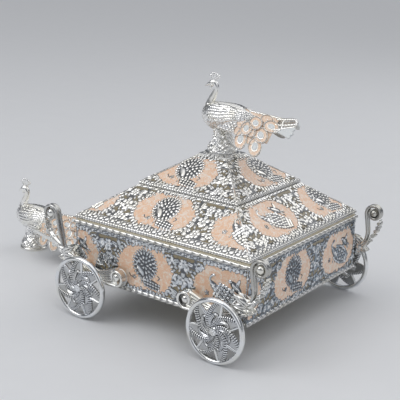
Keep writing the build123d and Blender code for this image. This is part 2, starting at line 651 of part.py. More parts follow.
def hexagon_nut(z0, z1):
    nut = extrude(Plane.XY.offset(z0) * RegularPolygon(NUT_ACROSS_FLATS / math.sqrt(3), 6), z1 - z0)
    return nut - rod_z(STUD_RADIUS + STUD_CLEARANCE, z0 - 1, z1 + 1)


# ---- Draw arms -----------------------------------------------------------------------------
def draw_arm(bracket, foot):
    """Flat bar from the neck of the front pedestal to the front left bracket."""
    start = Vector(DRAW_BIRD_X, -ARM_BIRD_Y, DRAW_FOOT_HEIGHT + ARM_BIRD_Z)
    end = Vector(-WALL_HALF - ARM_BRACKET_REACH, -(BRACKET_BACK_Y + BRACKET_DEPTH / 2),
                 UNDERSIDE_Z + ARM_BRACKET_RISE)
    along = end - start
    section = Plane(start, x_dir=Vector(0, 0, 1).cross(along), z_dir=along)
    bar = extrude(section * RectangleRounded(ARM_THICKNESS, ARM_WIDTH, 0.45 * ARM_THICKNESS), along.length)
    bar -= foot
    bar -= bracket
    return largest(bar)


# ---- Assembly ------------------------------------------------------------------------------
def group(pieces):
    return Compound(children=list(pieces))


def build():
    """Every node by name."""
    nodes = {"base_plate": base_plate(), "corner_angles": corner_angles(), "inner_tray": inner_tray(),
             "foot_moulding": group(foot_moulding().values()), "top_rim": group(top_rim().values())}
    for side, panel in wall_panels().items():
        nodes[f"wall_panel_{side}"] = panel

    nodes["front_axle"] = axle(-WHEEL_HALF_BASE)
    nodes["rear_axle"] = axle(WHEEL_HALF_BASE)
    nodes["axle_washers"] = axle_washers()
    nodes["axle_buttons"] = axle_buttons()
    nodes["axle_saddles"] = axle_saddles()
    nodes["saddle_rivets"] = saddle_rivets()
    for end, sx, phase in (("front", -1, FRONT_WHEEL_PHASE), ("rear", 1, REAR_WHEEL_PHASE)):
        for side, sy in (("left", -1), ("right", 1)):
            turned = Rot(0, 0, 0 if sy < 0 else 180)
            place = Pos(sx * WHEEL_HALF_BASE, sy * WHEEL_PLANE_Y, WHEEL_RADIUS) * turned
            nodes[f"wheel_{end}_{side}"] = place * wheel(phase)
            nodes[f"wheel_bush_{end}_{side}"] = place * wheel_bush()

    brackets = {"rear": scroll_bracket(WALL_HALF + REAR_HORN_REACH),
                "front": mirror(scroll_bracket(WALL_HALF + FRONT_HORN_REACH), Plane.YZ)}
    for end, bracket in brackets.items():
        nodes[f"scroll_bracket_{end}_left"] = bracket
        nodes[f"scroll_bracket_{end}_right"] = mirror(bracket, Plane.XZ)
    nodes["bracket_rivets"] = bracket_rivets()

    body = bird_body()
    foot = pedestal(body)
    stud_top = belly_z(body) + STUD_DEPTH
    draw = Pos(DRAW_BIRD_X, 0, DRAW_FOOT_HEIGHT)
    disc = rod_z(DRAW_FOOT_RADIUS, 0, DRAW_FOOT_HEIGHT)
    disc = fillet(disc.edges().sort_by(Axis.Z)[-1], 0.6 * DRAW_FOOT_HEIGHT)
    head_height = DRAW_FOOT_HEIGHT / 2
    draw_stud = rod_z(STUD_RADIUS, 0, DRAW_FOOT_HEIGHT + stud_top)
    draw_stud += rod_z(2 * STUD_RADIUS, 0, head_height)
    recess = rod_z(STUD_RADIUS + STUD_CLEARANCE, -1, DRAW_FOOT_HEIGHT + 1)
    recess += rod_z(2 * STUD_RADIUS + STUD_CLEARANCE, -1, head_height)
    across = Pos(DRAW_BIRD_X, 0, 0)
    nodes["draw_bird_foot"] = across * (disc - recess)
    nodes["draw_bird_stud"] = across * draw_stud
    nodes["draw_bird_pedestal"] = draw * foot
    nodes["draw_bird_body"] = draw * bored(body)
    nodes["draw_bird_train"] = draw * train(body, DRAW_TAIL_LIFT)
    nodes["draw_bird_crest"] = draw * crest(body)
    arm = draw_arm(brackets["front"], draw * foot + draw * body)
    nodes["draw_arm_left"] = arm
    nodes["draw_arm_right"] = mirror(arm, Plane.XZ)

    nodes["lid_rim"] = group(lid_rim().values())
    nodes["lid_collar"] = group(lid_collar().values())
    lower_half = LID_HALF - LID_PANEL_INSET
    panel_half = RIDGE_HALF - RIDGE_STEP
    cap_half = CAP_SIDE / 2
    for side, panel in tier_panels(lower_half, LOWER_TIER_Z, panel_half, RIDGE_Z).items():
        nodes[f"lid_lower_panel_{side}"] = panel
    for side, panel in tier_panels(panel_half, UPPER_TIER_Z, cap_half, CAP_Z).items():
        nodes[f"lid_upper_panel_{side}"] = panel
    nodes["ridge_moulding"] = group(ridge_moulding().values())
    nodes["lid_cap"] = lid_cap()
    knob = Pos(0, 0, KNOB_Z)
    nodes["knob_pedestal"] = knob * foot
    nodes["knob_bird_body"] = knob * bored(body)
    nodes["knob_bird_train"] = knob * train(body, 0)
    nodes["knob_bird_crest"] = knob * crest(body)
    nodes["knob_stud"] = rod_z(STUD_RADIUS, CAP_Z - NUT_HEIGHT - 1.0, KNOB_Z + stud_top)
    nodes["knob_nut"] = hexagon_nut(CAP_Z - NUT_HEIGHT, CAP_Z)
    return nodes


def write(nodes):
    """Centre the footprint on the origin and write one file for each node."""
    lows = [shape.bounding_box().min.X for shape in nodes.values()]
    highs = [shape.bounding_box().max.X for shape in nodes.values()]
    shift = -(min(lows) + max(highs)) / 2
    os.makedirs("parts", exist_ok=True)
    for name, shape in nodes.items():
        solids = [Pos(shift, 0, 0) * solid for solid in shape.solids()]
        export_step(solids[0] if len(solids) == 1 else Compound(children=solids), f"parts/{name}.step")
    print(f"{len(nodes)} nodes, middle of the box at x = {shift:.3f} mm")


write(build())
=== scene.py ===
"""Looks of a chariot-shaped box for betel leaf, drawn by a peacock.

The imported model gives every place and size. Shapes are worked out in millimetres about the
middle of the box on the ground, with +Z up, the way of travel along -X and the chariot's left
side at -Y, and are moved and scaled to the frame's metres when a piece is delivered.
"""

import logging
import math
from abc import ABC, abstractmethod
from collections.abc import Iterable, Sequence
from dataclasses import dataclass, field
from enum import Enum

import bmesh
import bpy
import numpy as np
from mathutils import Matrix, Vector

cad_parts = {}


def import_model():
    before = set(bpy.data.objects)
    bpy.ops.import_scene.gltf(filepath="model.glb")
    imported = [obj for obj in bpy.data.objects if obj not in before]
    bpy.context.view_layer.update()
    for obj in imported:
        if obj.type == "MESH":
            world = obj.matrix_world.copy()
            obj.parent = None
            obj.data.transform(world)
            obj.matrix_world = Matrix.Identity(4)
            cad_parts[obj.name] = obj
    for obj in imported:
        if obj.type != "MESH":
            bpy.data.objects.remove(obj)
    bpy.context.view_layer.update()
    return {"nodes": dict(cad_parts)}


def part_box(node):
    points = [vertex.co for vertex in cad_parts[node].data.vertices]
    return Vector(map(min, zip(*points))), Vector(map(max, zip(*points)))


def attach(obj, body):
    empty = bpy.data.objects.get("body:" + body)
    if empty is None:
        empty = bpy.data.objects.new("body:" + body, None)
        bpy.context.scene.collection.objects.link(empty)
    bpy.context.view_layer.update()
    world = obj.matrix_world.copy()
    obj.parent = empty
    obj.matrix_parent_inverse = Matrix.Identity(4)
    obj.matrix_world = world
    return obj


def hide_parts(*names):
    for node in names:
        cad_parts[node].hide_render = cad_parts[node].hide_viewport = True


LOG = logging.getLogger("chariot_box")
MM = 0.001
RELIEF = "relief"               # colour attribute of every worked piece
FIRST, SECOND, DEEP = range(3)  # its channels: two enamels, and how deep a spot lies, which is also how much tarnish and painted shade darken it
Array = np.ndarray
Colour = tuple[float, float, float]
Point = tuple[float, float]
Spot = tuple[float, float, float]


# ---- Node trees ----
class Val:
    """A number in a node tree, on which Python's operators add Math nodes."""

    def __init__(self, tree: "Tree", socket: bpy.types.NodeSocket) -> None:
        """Wrap one output socket of a tree."""
        self.tree = tree
        self.socket = socket

    def _math(self, operation: str, first: "Val | float", second: "Val | float") -> "Val":
        """Add one Math node for two operands."""
        return self.tree.node("ShaderNodeMath", {"operation": operation}, {0: first, 1: second})

    def __add__(self, other: "Val | float") -> "Val":
        """Sum."""
        return self._math("ADD", self, other)

    __radd__ = __add__

    def __mul__(self, other: "Val | float") -> "Val":
        """Product."""
        return self._math("MULTIPLY", self, other)

    __rmul__ = __mul__

    def __sub__(self, other: "Val | float") -> "Val":
        """Difference."""
        return self._math("SUBTRACT", self, other)

    def __rsub__(self, other: "Val | float") -> "Val":
        """Difference from a number on the left."""
        return self._math("SUBTRACT", other, self)

    def ramp(self, low: float, high: float) -> "Val":
        """Smooth step from 0 at the low value to 1 at the high one."""
        settings = {"interpolation_type": "SMOOTHSTEP"}
        return self.tree.node("ShaderNodeMapRange", settings, {"Value": self, 1: low, 2: high})


class Tree:
    """A material's or the world's node tree, with one way to add a node."""

    def __init__(self, owner: bpy.types.Material | bpy.types.World) -> None:
        """Empty a tree and keep it.

        Args:
            owner: Material or world that it belongs to.
        """
        owner.use_nodes = True
        self.tree = owner.node_tree
        self.tree.nodes.clear()

    def node(self, kind: str, settings: dict | None = None, inputs: dict | None = None,
             output: str | int = 0) -> Val:
        """Add a node.

        Args:
            kind: The node's type.
            settings: Properties that are set before the sockets; "stops" sets a ramp's colours.
            inputs: Value or link of each socket, by name or number.
            output: Socket that is handed back.

        Returns:
            The wanted output.
        """
        node = self.tree.nodes.new(kind)
        for name, value in (settings or {}).items():
            if name == "stops":
                for number, (place, shade) in enumerate(value):
                    stops = node.color_ramp.elements
                    stop = stops[number] if number < 2 else stops.new(place)
                    stop.position, stop.color = place, (*shade, 1.0)
            else:
                setattr(node, name, value)
        for name, value in (inputs or {}).items():
            if isinstance(value, Val):
                self.tree.links.new(value.socket, node.inputs[name])
            else:
                node.inputs[name].default_value = value
        return Val(self, node.outputs[output] if node.outputs else None)

    def mix(self, share: Val | float, first: Val | Colour, second: Val | Colour) -> Val:
        """Blend two colours.

        Args:
            share: How much of the second colour shows.
            first: Colour at 0.
            second: Colour at 1.

        Returns:
            The blended colour.
        """
        inputs = {0: share}
        for number, shade in ((6, first), (7, second)):
            inputs[number] = shade if isinstance(shade, Val) else (*shade, 1.0)
        return self.node("ShaderNodeMix", {"data_type": "RGBA"}, inputs, 2)

    def noise(self, scale: float, detail: float, distortion: float = 0.0) -> Val:
        """Add noise over the piece, in the frame's metres.

        Args:
            scale: Waves in a metre.
            detail: Octaves.
            distortion: How much the waves curl.

        Returns:
            The noise, about 0.5.
        """
        place = self.node("ShaderNodeTexCoord", output="Object")
        inputs = {"Vector": place, "Scale": scale, "Detail": detail, "Distortion": distortion}
        return self.node("ShaderNodeTexNoise", None, inputs)

    def channel(self, number: int) -> Val:
        """Read one channel of the piece's relief colours."""
        relief = self.node("ShaderNodeAttribute", {"attribute_name": RELIEF}, None, "Color")
        return self.node("ShaderNodeSeparateColor", None, {0: relief}, number)

    def bump(self, height: Val, strength: float, distance: float) -> Val:
        """Turn a height into a normal, at a strength and over a distance in metres."""
        inputs = {"Strength": strength, "Distance": distance, "Height": height}
        return self.node("ShaderNodeBump", None, inputs)

    def paint(self, inputs: dict) -> None:
        """Close a material's tree with one Principled surface that has these inputs."""
        surface = self.node("ShaderNodeBsdfPrincipled", None, inputs)
        self.node("ShaderNodeOutputMaterial", None, {0: surface})


# ---- Finishes ----
@dataclass(frozen=True)
class Coat(ABC):
    """A finish, with its material's name and a slot name that nothing reads."""

    name: str
    slot: str

    @abstractmethod
    def inputs(self, tree: Tree) -> dict:
        """Work out the value or link of each of the Principled surface's sockets."""

    def build(self) -> bpy.types.Material:
        """Make the material.

        Returns:
            The new material.
        """
        material = bpy.data.materials.new(self.name)
        tree = Tree(material)
        tree.paint(self.inputs(tree))
        return material


@dataclass(frozen=True)
class Silver(Coat):
    """Plated silver, darkened in what lies deep by tarnish and by painted shade and painted dark
    reflections, with painted highlights on scattered spots.
    """

    shade: Colour = (0.86, 0.855, 0.84)
    warmth: Colour = (0.97, 0.95, 0.89)    # what a warm cloud leaves of the shade
    # dark blue-grey for tarnish, painted shade and painted reflections of dark surroundings in what
    # lies deep
    tarnish_and_shade: Colour = (0.085, 0.09, 0.10)
    roughness: float = 0.16
    tarnish_and_shade_share: float = 0.9
    grain: float = 0.02                    # depth of the fine wear
    # painted highlights: lighter spots that stand in for glints
    glint_shade: Colour = (0.93, 0.94, 0.95)
    glint_share: float = 0.0              # how much of the painted highlight colour the glinting spots take
    cloud_scale: float = 90.0              # clouds, wear and painted glints, in waves per metre
    worn_scale: float = 900.0
    glint_scale: float = 380.0

    def metal(self, tree: Tree, deep: Val) -> tuple[Val, Val, Val]:
        """Work out the plating's colour, roughness and bump.

        Args:
            tree: Tree of the material.
            deep: How deep a spot lies, and so how much tarnish and painted shade darken it, from 0
                to 1.

        Returns:
            Colour, roughness and normal.
        """
        cloud = tree.noise(self.cloud_scale, 3.0)
        worn = tree.noise(self.worn_scale, 2.0)
        # tarnish and painted shade darken what lies deep
        dark = deep * self.tarnish_and_shade_share + (cloud - 0.5) * 0.10
        warmed = tuple(part * share for part, share in zip(self.shade, self.warmth))
        plate = tree.mix(cloud.ramp(0.35, 0.7), self.shade, warmed)
        # painted highlights on scattered spots
        glint = tree.noise(self.glint_scale, 2.0).ramp(0.50, 0.57) * self.glint_share
        plate = tree.mix(glint, plate, self.glint_shade)
        shade = tree.mix(dark.ramp(0.05, 0.95), plate, self.tarnish_and_shade)
        rough = (worn - 0.5) * 0.12 + deep * 0.16 + self.roughness
        return shade, rough, tree.bump(worn, 4 * self.grain, 0.4 * MM)

    def inputs(self, tree: Tree) -> dict:
        """Show the plating alone."""
        shade, rough, bump = self.metal(tree, tree.channel(DEEP))
        return {"Base Color": shade, "Metallic": 1.0, "Roughness": rough, "Normal": bump}


@dataclass(frozen=True)
class Enamelled(Silver):
    """Plated silver with two enamels poured into its fields."""

    first: Colour = (0.94, 0.60, 0.39)
    first_swirl: Colour = (0.97, 0.86, 0.76)
    second: Colour = (0.24, 0.195, 0.11)
    second_swirl: Colour = (0.31, 0.255, 0.155)
    swirl_scale: float = 150.0        # broad swirls, in waves per metre
    gloss: float = 0.28               # roughness of the enamel
    edge: Point = (0.42, 0.58)        # shares between which an enamel sets in
    coat: float = 0.5                 # weight and roughness of the clear layer on it
    coat_roughness: float = 0.12

    def inputs(self, tree: Tree) -> dict:
        """Work out what goes into the Principled surface.

        Args:
            tree: Tree of the material.

        Returns:
            Value or link of each socket.
        """
        in_first = tree.channel(FIRST).ramp(*self.edge)
        in_second = tree.channel(SECOND).ramp(*self.edge)
        shade, rough, bump = self.metal(tree, tree.channel(DEEP))
        broad = tree.noise(self.swirl_scale, 3.0, 2.2)
        fine = tree.noise(3.0 * self.swirl_scale, 4.0, 3.0)
        swirl = (broad * 0.45 + fine * 0.55).ramp(0.45, 0.60)
        shade = tree.mix(in_first, shade, tree.mix(swirl, self.first, self.first_swirl))
        shade = tree.mix(in_second, shade, tree.mix(swirl, self.second, self.second_swirl))
        filled = tree.node("ShaderNodeMath", {"operation": "MAXIMUM"}, {0: in_first, 1: in_second})
        rough = rough + (self.gloss - rough) * filled
        return {"Base Color": shade, "Metallic": 1 - filled, "Roughness": rough, "Normal": bump,
                "Coat Weight": filled * self.coat, "Coat Roughness": self.coat_roughness}


@dataclass(frozen=True)
class Lacquer(Coat):
    """Painted sheet with a slight cloudiness."""

    shade: Colour = (0.83, 0.76, 0.58)
    clouded: Colour = (0.76, 0.68, 0.50)
    roughness: float = 0.45
    cloud_scale: float = 70.0         # clouds and grain, in waves per metre
    grain_scale: float = 2500.0

    def inputs(self, tree: Tree) -> dict:
        """Work out what goes into the Principled surface.

        Args:
            tree: Tree of the material.

        Returns:
            Value or link of each socket.
        """
        cloud = tree.noise(self.cloud_scale, 4.0)
        grain = tree.noise(self.grain_scale, 2.0)
        return {"Base Color": tree.mix(cloud.ramp(0.3, 0.7), self.shade, self.clouded),
                "Metallic": 0.0, "Roughness": (grain - 0.5) * 0.2 + self.roughness,
                "Normal": tree.bump(grain, 0.12, 0.3 * MM)}


class Finish(Enum):
    """Finishes of the pieces."""

    PANEL = Enamelled("stamped_enamel", "enamelled_sheet")
    # The walls' silver is darker and cooler than the lid's as a painted dark reflection, and the
    # end walls' darker still as painted shade; both carry painted glints.
    WALL = Enamelled("wall_enamel", "enamelled_sheet", shade=(0.62, 0.66, 0.71),
                     glint_share=0.9, first=(0.88, 0.55, 0.35), first_swirl=(0.93, 0.81, 0.70))
    END_WALL = Enamelled("end_wall_enamel", "enamelled_sheet", shade=(0.33, 0.38, 0.44),
                         glint_share=0.8, first=(0.90, 0.59, 0.40),
                         first_swirl=(0.95, 0.85, 0.75))
    TRAIN = Enamelled("train_enamel", "enamelled_train", first=(0.88, 0.58, 0.37),
                      second=(0.72, 0.76, 0.78), second_swirl=(0.86, 0.87, 0.85),
                      swirl_scale=400.0, tarnish_and_shade_share=0.7)
    CASTING = Silver("cast_silver", "silver_casting", shade=(0.90, 0.90, 0.885))
    BIRD = Silver("engraved_silver", "silver_casting", shade=(0.96, 0.96, 0.955),
                  tarnish_and_shade_share=0.7)
    WHEEL = Silver("wheel_silver", "wheel_casting", shade=(0.85, 0.87, 0.90), roughness=0.15)
    MOULDING = Silver("moulding_silver", "silver_moulding", roughness=0.17)
    SHEET = Silver("plain_sheet_metal", "plain_sheet", shade=(0.70, 0.67, 0.60),
                   roughness=0.34, grain=0.05)
    STEEL = Silver("steel_fitting", "steel_fittings", shade=(0.62, 0.62, 0.62),
                   roughness=0.28, grain=0.04)
    BUSH = Silver("turned_bush", "bush_brass", shade=(0.80, 0.60, 0.30),
                  roughness=0.25, grain=0.04)
    LINING = Lacquer("cream_lining", "tray_lining")


# ---- Shapes ----
def row(*values: float) -> Array:
    """Numbers as an array of floats."""
    return np.array(values, float)


def polar(radius: float | Array, degrees: float | Array) -> Array:
    """Point or points of a circle about the origin, as two last coordinates."""
    turn = np.radians(degrees)
    return np.stack([radius * np.cos(turn), radius * np.sin(turn)], -1)


def spline(points: Iterable[Sequence[float]], steps: int) -> Array:
    """Run a smooth line through points.

    Args:
        points: Places to pass through.
        steps: Number of points wanted.

    Returns:
        Points at even steps of the parameter, where each span counts by its length.
    """
    knots = np.array(list(points), float)
    lengths = np.linalg.norm(np.diff(knots, axis=0), axis=1) ** 0.5
    at = np.concatenate([[0], np.cumsum(lengths)])
    slopes = np.gradient(knots, at, axis=0, edge_order=1)
    wanted = np.linspace(0, at[-1], steps)
    span = np.clip(np.searchsorted(at, wanted, side="right") - 1, 0, len(at) - 2)
    size = (at[span + 1] - at[span])[:, None]
    t = (wanted[:, None] - at[span][:, None]) / size
    start, end = knots[span], knots[span + 1]
    rise, fall = slopes[span] * size, slopes[span + 1] * size
    return ((2 * t**3 - 3 * t**2 + 1) * start + (t**3 - 2 * t**2 + t) * rise
            + (3 * t**2 - 2 * t**3) * end + (t**3 - t**2) * fall)


def spread(values: Sequence[float], steps: int) -> Array:
    """Run smoothly through numbers that stand at even distances."""
    knots = spline(enumerate(values), 40 * len(values))
    return np.interp(np.linspace(0, len(values) - 1, steps), knots[:, 0], knots[:, 1])


def unit(vectors: Array) -> Array:
    """Vectors at length 1."""
    return vectors / np.maximum(np.linalg.norm(vectors, axis=-1, keepdims=True), 1e-9)


def ring_section(width: float, height: float, corners: int) -> Array:
    """Closed oval section."""
    turn = np.linspace(0, 2 * np.pi, corners, endpoint=False)
    return np.stack([np.cos(turn), np.sin(turn)], -1) * row(width / 2, height / 2)


def upright(flat: Array, out: Array | float) -> Array:
    """Stand flat points up on the left side, at a distance outwards."""
    depth = np.broadcast_to(-np.asarray(out), flat.shape[:-1])
    return np.stack([flat[..., 0], depth, flat[..., 1]], -1)


def level_at(flat: Array, level: float) -> Array:
    """Give flat points a last coordinate."""
    return np.concatenate([flat, np.full((*flat.shape[:-1], 1), level)], -1)


def swept(path: Array, section: Array, up: Sequence[float],
          scale: Array | float = 1.0) -> Array:
    """Carry a section along a path.

    Args:
        path: Points of the path, (n, 3).
        section: Points across it, (k, 2), or one set for each point of the path.
        up: Direction that the section's second coordinate keeps near.
        scale: Size of the section at each point.

    Returns:
        Grid of points, (n, k, 3).
    """
    along = unit(np.gradient(path, axis=0))
    side = unit(np.cross(along, np.broadcast_to(row(*up), along.shape)))
    top = unit(np.cross(side, along))
    sections = np.broadcast_to(section, (len(path), *section.shape[-2:]))
    sections = sections * np.reshape(scale, (-1, 1, 1))
    return path[:, None] + side[:, None] * sections[..., :1] + top[:, None] * sections[..., 1:]


def clamp(x: Array) -> Array:
    """Values held between 0 and 1."""
    return np.clip(x, 0, 1)


def waves(x: Array) -> Array:
    """Round-topped waves of height 1 with a sharp valley at each whole number."""
    return np.abs(np.sin(np.pi * x))


def rounded(x: Array) -> Array:
    """Quarter-round profile: 1 in the middle, 0 at distance 1 and beyond."""
    return np.sqrt(clamp(1 - x * x))


def fish_scales(along: Array, across: Array, length: float, width: float) -> Array:
    """Overlapping rounded feathers.

    Args:
        along: Distance in the way that the feathers point.
        across: Distance the other way.
        length: How much of each feather shows.
        width: Width of a feather.

    Returns:
        Height from 0 in the seams to 1 on the feathers.
    """
    best = np.zeros(np.broadcast(along, across).shape)
    for back in (0, 1):
        line = np.floor(along / length) - back
        middle = across / width + 0.5 * np.mod(line, 2)
        off = (middle - np.floor(middle) - 0.5) * 2
        reach = along / length - line - rounded(off) * 0.9
        high = np.clip(1.5 - 0.45 * (along / length - line), 0, 1.2) * (reach < 0.35)
        shaft = 0.25 * clamp(1 - np.abs(off) * 6)
        rim = clamp(1 - ((reach - 0.12) / 0.2) ** 2) * 0.5
        best = np.maximum(best, (0.55 * high - shaft * (off != 0) + rim) * (np.abs(off) < 0.97))
    return best


def relief_of(grid: Array, deep: Array | float, enamel: Point = (0.0, 0.0)) -> Array:
    """Set out the relief colours of a grid.

    Args:
        grid: Its points.
        deep: How deep each of them lies, from 0 to 1.
        enamel: How much of the first and of the second enamel covers them.

    Returns:
        The colours, one for each point.
    """
    relief = np.zeros_like(grid)
    relief[..., FIRST], relief[..., SECOND] = enamel
    relief[..., DEEP] = deep
    return relief


class Shell:
    """Closed surfaces gathered into the mesh of one piece, in millimetres."""

    def __init__(self) -> None:
        """Start empty."""
        self.points: list[Array] = []
        self.faces: list[list[int]] = []
        self.relief: list[Array] = []
        self.count = 0

    def _take(self, points: Array, relief: Array | None) -> int:
        """Keep points with their relief colours.

        Args:
            points: The points.
            relief: Their colours, if not plain.

        Returns:
            Number of the first point.
        """
        first = self.count
        flat = points.reshape(-1, 3)
        self.points.append(flat)
        self.relief.append(np.zeros_like(flat) if relief is None else relief.reshape(-1, 3))
        self.count += len(flat)
        return first

    def tube(self, grid: Array, relief: Array | None = None, closed: bool = False) -> None:
        """Add a surface whose rows are rings.

        Args:
            grid: Points, (rows, points of a ring, 3).
            relief: Relief colours of the same points.
            closed: Whether the last ring joins the first; if not, flat caps close the ends.
        """
        rows, ring = grid.shape[:2]
        first = self._take(grid, relief)
        at = first + np.arange(rows * ring).reshape(rows, ring)
        low = at if closed else at[:-1]
        high = np.roll(at, -1, 0) if closed else at[1:]
        quads = np.stack([low, np.roll(low, -1, 1), np.roll(high, -1, 1), high], -1)
        self.faces += quads.reshape(-1, 4).tolist()
        if not closed:
            self.faces += [at[0][::-1].tolist(), at[-1].tolist()]

    def slab(self, front: Array, back: Array, relief: Array | None = None) -> None:
        """Add a sheet with a shaped front and a back seen at its edge.

        Args:
            front: Front points, (rows, columns, 3).
            back: Back points of the same grid; only those of the rim are used.
            relief: Relief colours of the front.
        """
        rows, columns = front.shape[:2]
        first = self._take(front, relief)
        at = first + np.arange(rows * columns).reshape(rows, columns)
        quads = np.stack([at[:-1, :-1], at[:-1, 1:], at[1:, 1:], at[1:, :-1]], -1)
        self.faces += quads.reshape(-1, 4).tolist()
        rim = np.concatenate([at[0, :-1], at[:-1, -1], at[-1, :0:-1], at[:0:-1, 0]])
        under = self._take(back.reshape(-1, 3)[rim - first], None) + np.arange(len(rim))
        walls = np.stack([rim, under, np.roll(under, -1), np.roll(rim, -1)], -1)
        self.faces += walls.tolist()
        self.faces.append(under.tolist())

    def lathe(self, profile: Sequence[Point] | Array, steps: int) -> None:
        """Turn a closed profile about the line of the axles.

        Args:
            profile: Radius and distance outwards of each corner.
            steps: Number of sections.
        """
        turn = np.linspace(0, 360, steps, endpoint=False)
        radius, out = np.array(profile, float).T
        self.tube(upright(polar(1.0, turn)[:, None] * radius[:, None], out), closed=True)

    def flip(self, x: int, y: int) -> None:
        """Mirror everything across the origin where a sign is -1."""
        self.points = [points * row(x, y, 1) for points in self.points]

    def shift(self, by: Sequence[float]) -> None:
        """Move everything."""
        self.points = [points + row(*by) for points in self.points]

    def join(self, other: "Shell") -> None:
        """Take over the surfaces of another shell.

        Args:
            other: The other shell.
        """
        self.faces += [[number + self.count for number in face] for face in other.faces]
        self.points += other.points
        self.relief += other.relief
        self.count += other.count

    def ball(self, centre: Sequence[float], radii: Sequence[float], axes: Array | None = None,
             steps: int = 12, deep: float = 0.0) -> None:
        """Add an egg-shaped bead.

        Args:
            centre: Its middle.
            radii: Half sizes along its three axes.
            axes: Rows of its axes, if not those of the frame.
            steps: Rings from pole to pole.
            deep: How dark all of it is made, from 0 to 1.
        """
        turn = np.linspace(0.02, np.pi - 0.02, steps)[:, None]
        around = np.linspace(0, 2 * np.pi, 2 * steps, endpoint=False)[None]
        shape = np.stack([np.sin(turn) * np.cos(around), np.sin(turn) * np.sin(around),
                          np.cos(turn) * np.ones_like(around)], -1) * row(*radii)
        if axes is not None:
            shape = shape @ axes
        self.tube(shape + row(*centre), relief_of(shape, deep))

    def leaf(self, root: Array, tip: Array, normal: Sequence[float], width: float, crown: float,
             curl: float, steps: int, veins: int = 2, notch: float = 0.0) -> None:
        """Add one carved leaf with a midrib and side veins.

        Args:
            root: Where it starts.
            tip: Where it ends.
            normal: The way that its face looks.
            width: Its largest width.
            crown: Its thickness in the middle.
            curl: How far the tip bends towards the face.
            steps: Rows along it.
            veins: Side veins.
            notch: Depth of the cuts in its edge, as a share of the width.
        """
        along = tip - root
        length = float(np.linalg.norm(along))
        along = along / length
        face = unit(row(*normal) - along * float(row(*normal) @ along))
        side = np.cross(along, face)
        s = np.linspace(0, 1, steps)[:, None]
        v = np.linspace(-1, 1, 13)[None]
        wide = np.sin(np.pi * clamp(0.08 + 0.92 * s)) ** 0.75 * (1 - 0.25 * s)
        wide = wide * (1 - notch * np.abs(np.sin(np.pi * veins * s))) + 0.02
        vein = 0.5 + 0.5 * np.cos(2 * np.pi * veins * (s - 0.16 * np.abs(v)))
        midrib = clamp(1 - np.abs(v) * 5)
        high = crown * (0.25 + 0.75 * rounded(v * 0.97)) * (0.78 + 0.22 * vein)
        high = high * (0.35 + 0.65 * rounded(2 * s - 1)) * (1 - 0.35 * midrib)
        bend = curl * s**2
        base = root + along * (length * s[..., None]) + side * (v * wide * width / 2)[..., None]
        front = base + face * (high + bend)[..., None]
        back = base + face * (bend - 0.3 * crown)[..., None] * np.ones_like(front)
        deep = clamp(0.75 * (1 - vein) * np.abs(v) + 0.7 * midrib)
        self.slab(front, back, relief_of(front, deep))


def blur(grid: Array, reach: int) -> Array:
    """Smooth a grid over square boxes, with its edges repeated.

    Args:
        grid: Values.
        reach: Cells from a box's middle to its edge.

    Returns:
        Smoothed values.
    """
    for axis in (0, 1):
        pad = [(reach + 1, reach) if number == axis else (0, 0) for number in (0, 1)]
        total = np.cumsum(np.pad(grid, pad, mode="edge"), axis=axis)
        high = np.take(total, range(2 * reach + 1, total.shape[axis]), axis)
        low = np.take(total, range(0, total.shape[axis] - 2 * reach - 1), axis)
        grid = (high - low) / (2 * reach + 1)
    return grid


def on_side(quarter: int, along: Array, out: Array) -> tuple[Array, Array]:
    """Turn places along and out from the box's left side by quarter turns."""
    return ((along, -out), (out, along), (-along, out), (-out, -along))[quarter]


# ---- Bench ----
@dataclass
class Bench:
    """Where pieces are put together and handed to the frame."""

    nodes: dict[str, bpy.types.Object]
    middle: float             # middle of the box along the frame, in millimetres
    crease: float = 40.0      # degrees above which an edge is sharp
    finishes: dict[Finish, bpy.types.Material] = field(default_factory=dict)

    def material(self, finish: Finish) -> bpy.types.Material:
        """Hand out a material, made once.

        Args:
            finish: Its finish.

        Returns:
            The material.
        """
        if finish not in self.finishes:
            self.finishes[finish] = finish.value.build()
        return self.finishes[finish]

    def deliver(self, name: str, shell: Shell, body: str, finish: Finish,
                stands_for: Iterable[str]) -> None:
        """Turn gathered surfaces into one piece of the model.

        Args:
            name: Name of the piece.
            shell: Its surfaces, about the middle of the box.
            body: Body that it moves with.
            finish: Its finish.
            stands_for: Nodes of the frame that it stands for.
        """
        mesh = bpy.data.meshes.new(name)
        points = (np.concatenate(shell.points) + row(self.middle, 0, 0)) * MM
        mesh.from_pydata(points.tolist(), [], shell.faces)
        relief = np.concatenate(shell.relief)
        colours = np.concatenate([relief, np.ones((len(relief), 1))], 1).astype(np.float32)
        layer = mesh.attributes.new(RELIEF, "FLOAT_COLOR", "POINT")
        layer.data.foreach_set("color", colours.ravel())
        work = bmesh.new()
        work.from_mesh(mesh)
        bmesh.ops.recalc_face_normals(work, faces=work.faces)
        work.to_mesh(mesh)
        work.free()
        mesh.polygons.foreach_set("use_smooth", [True] * len(mesh.polygons))
        mesh.set_sharp_from_angle(angle=math.radians(self.crease))
        mesh.materials.append(self.material(finish))
        piece = bpy.data.objects.new(name, mesh)
        bpy.context.collection.objects.link(piece)
        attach(piece, body)
        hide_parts(*stands_for)
        LOG.info("%s: %d faces on %s", name, len(mesh.polygons), body)

    def dress(self, node: str, finish: Finish) -> None:
        """Give a node of the frame a better material on its own mesh.

        Args:
            node: Name of the node.
            finish: Its finish.
        """
        piece = self.nodes[node]
        if not piece.material_slots:
            piece.data.materials.append(None)
        for place in piece.material_slots:
            place.material = self.material(finish)
        LOG.info("%s: dressed", node)


# ---- Stamped ornament ----
class Line(Enum):
    """How a line of ornament is worked."""

    PLAIN = (0.35, 1.0, 1.0, 0.0)
    ROPE = (0.62, 1.45, 0.72, 52.0)

    def __init__(self, step: float, length: float, width: float, turn: float) -> None:
        """Keep a boss's spacing, length and width as shares of the line's, and its slant."""
        self.step, self.long, self.wide, self.turn = step, length, width, turn


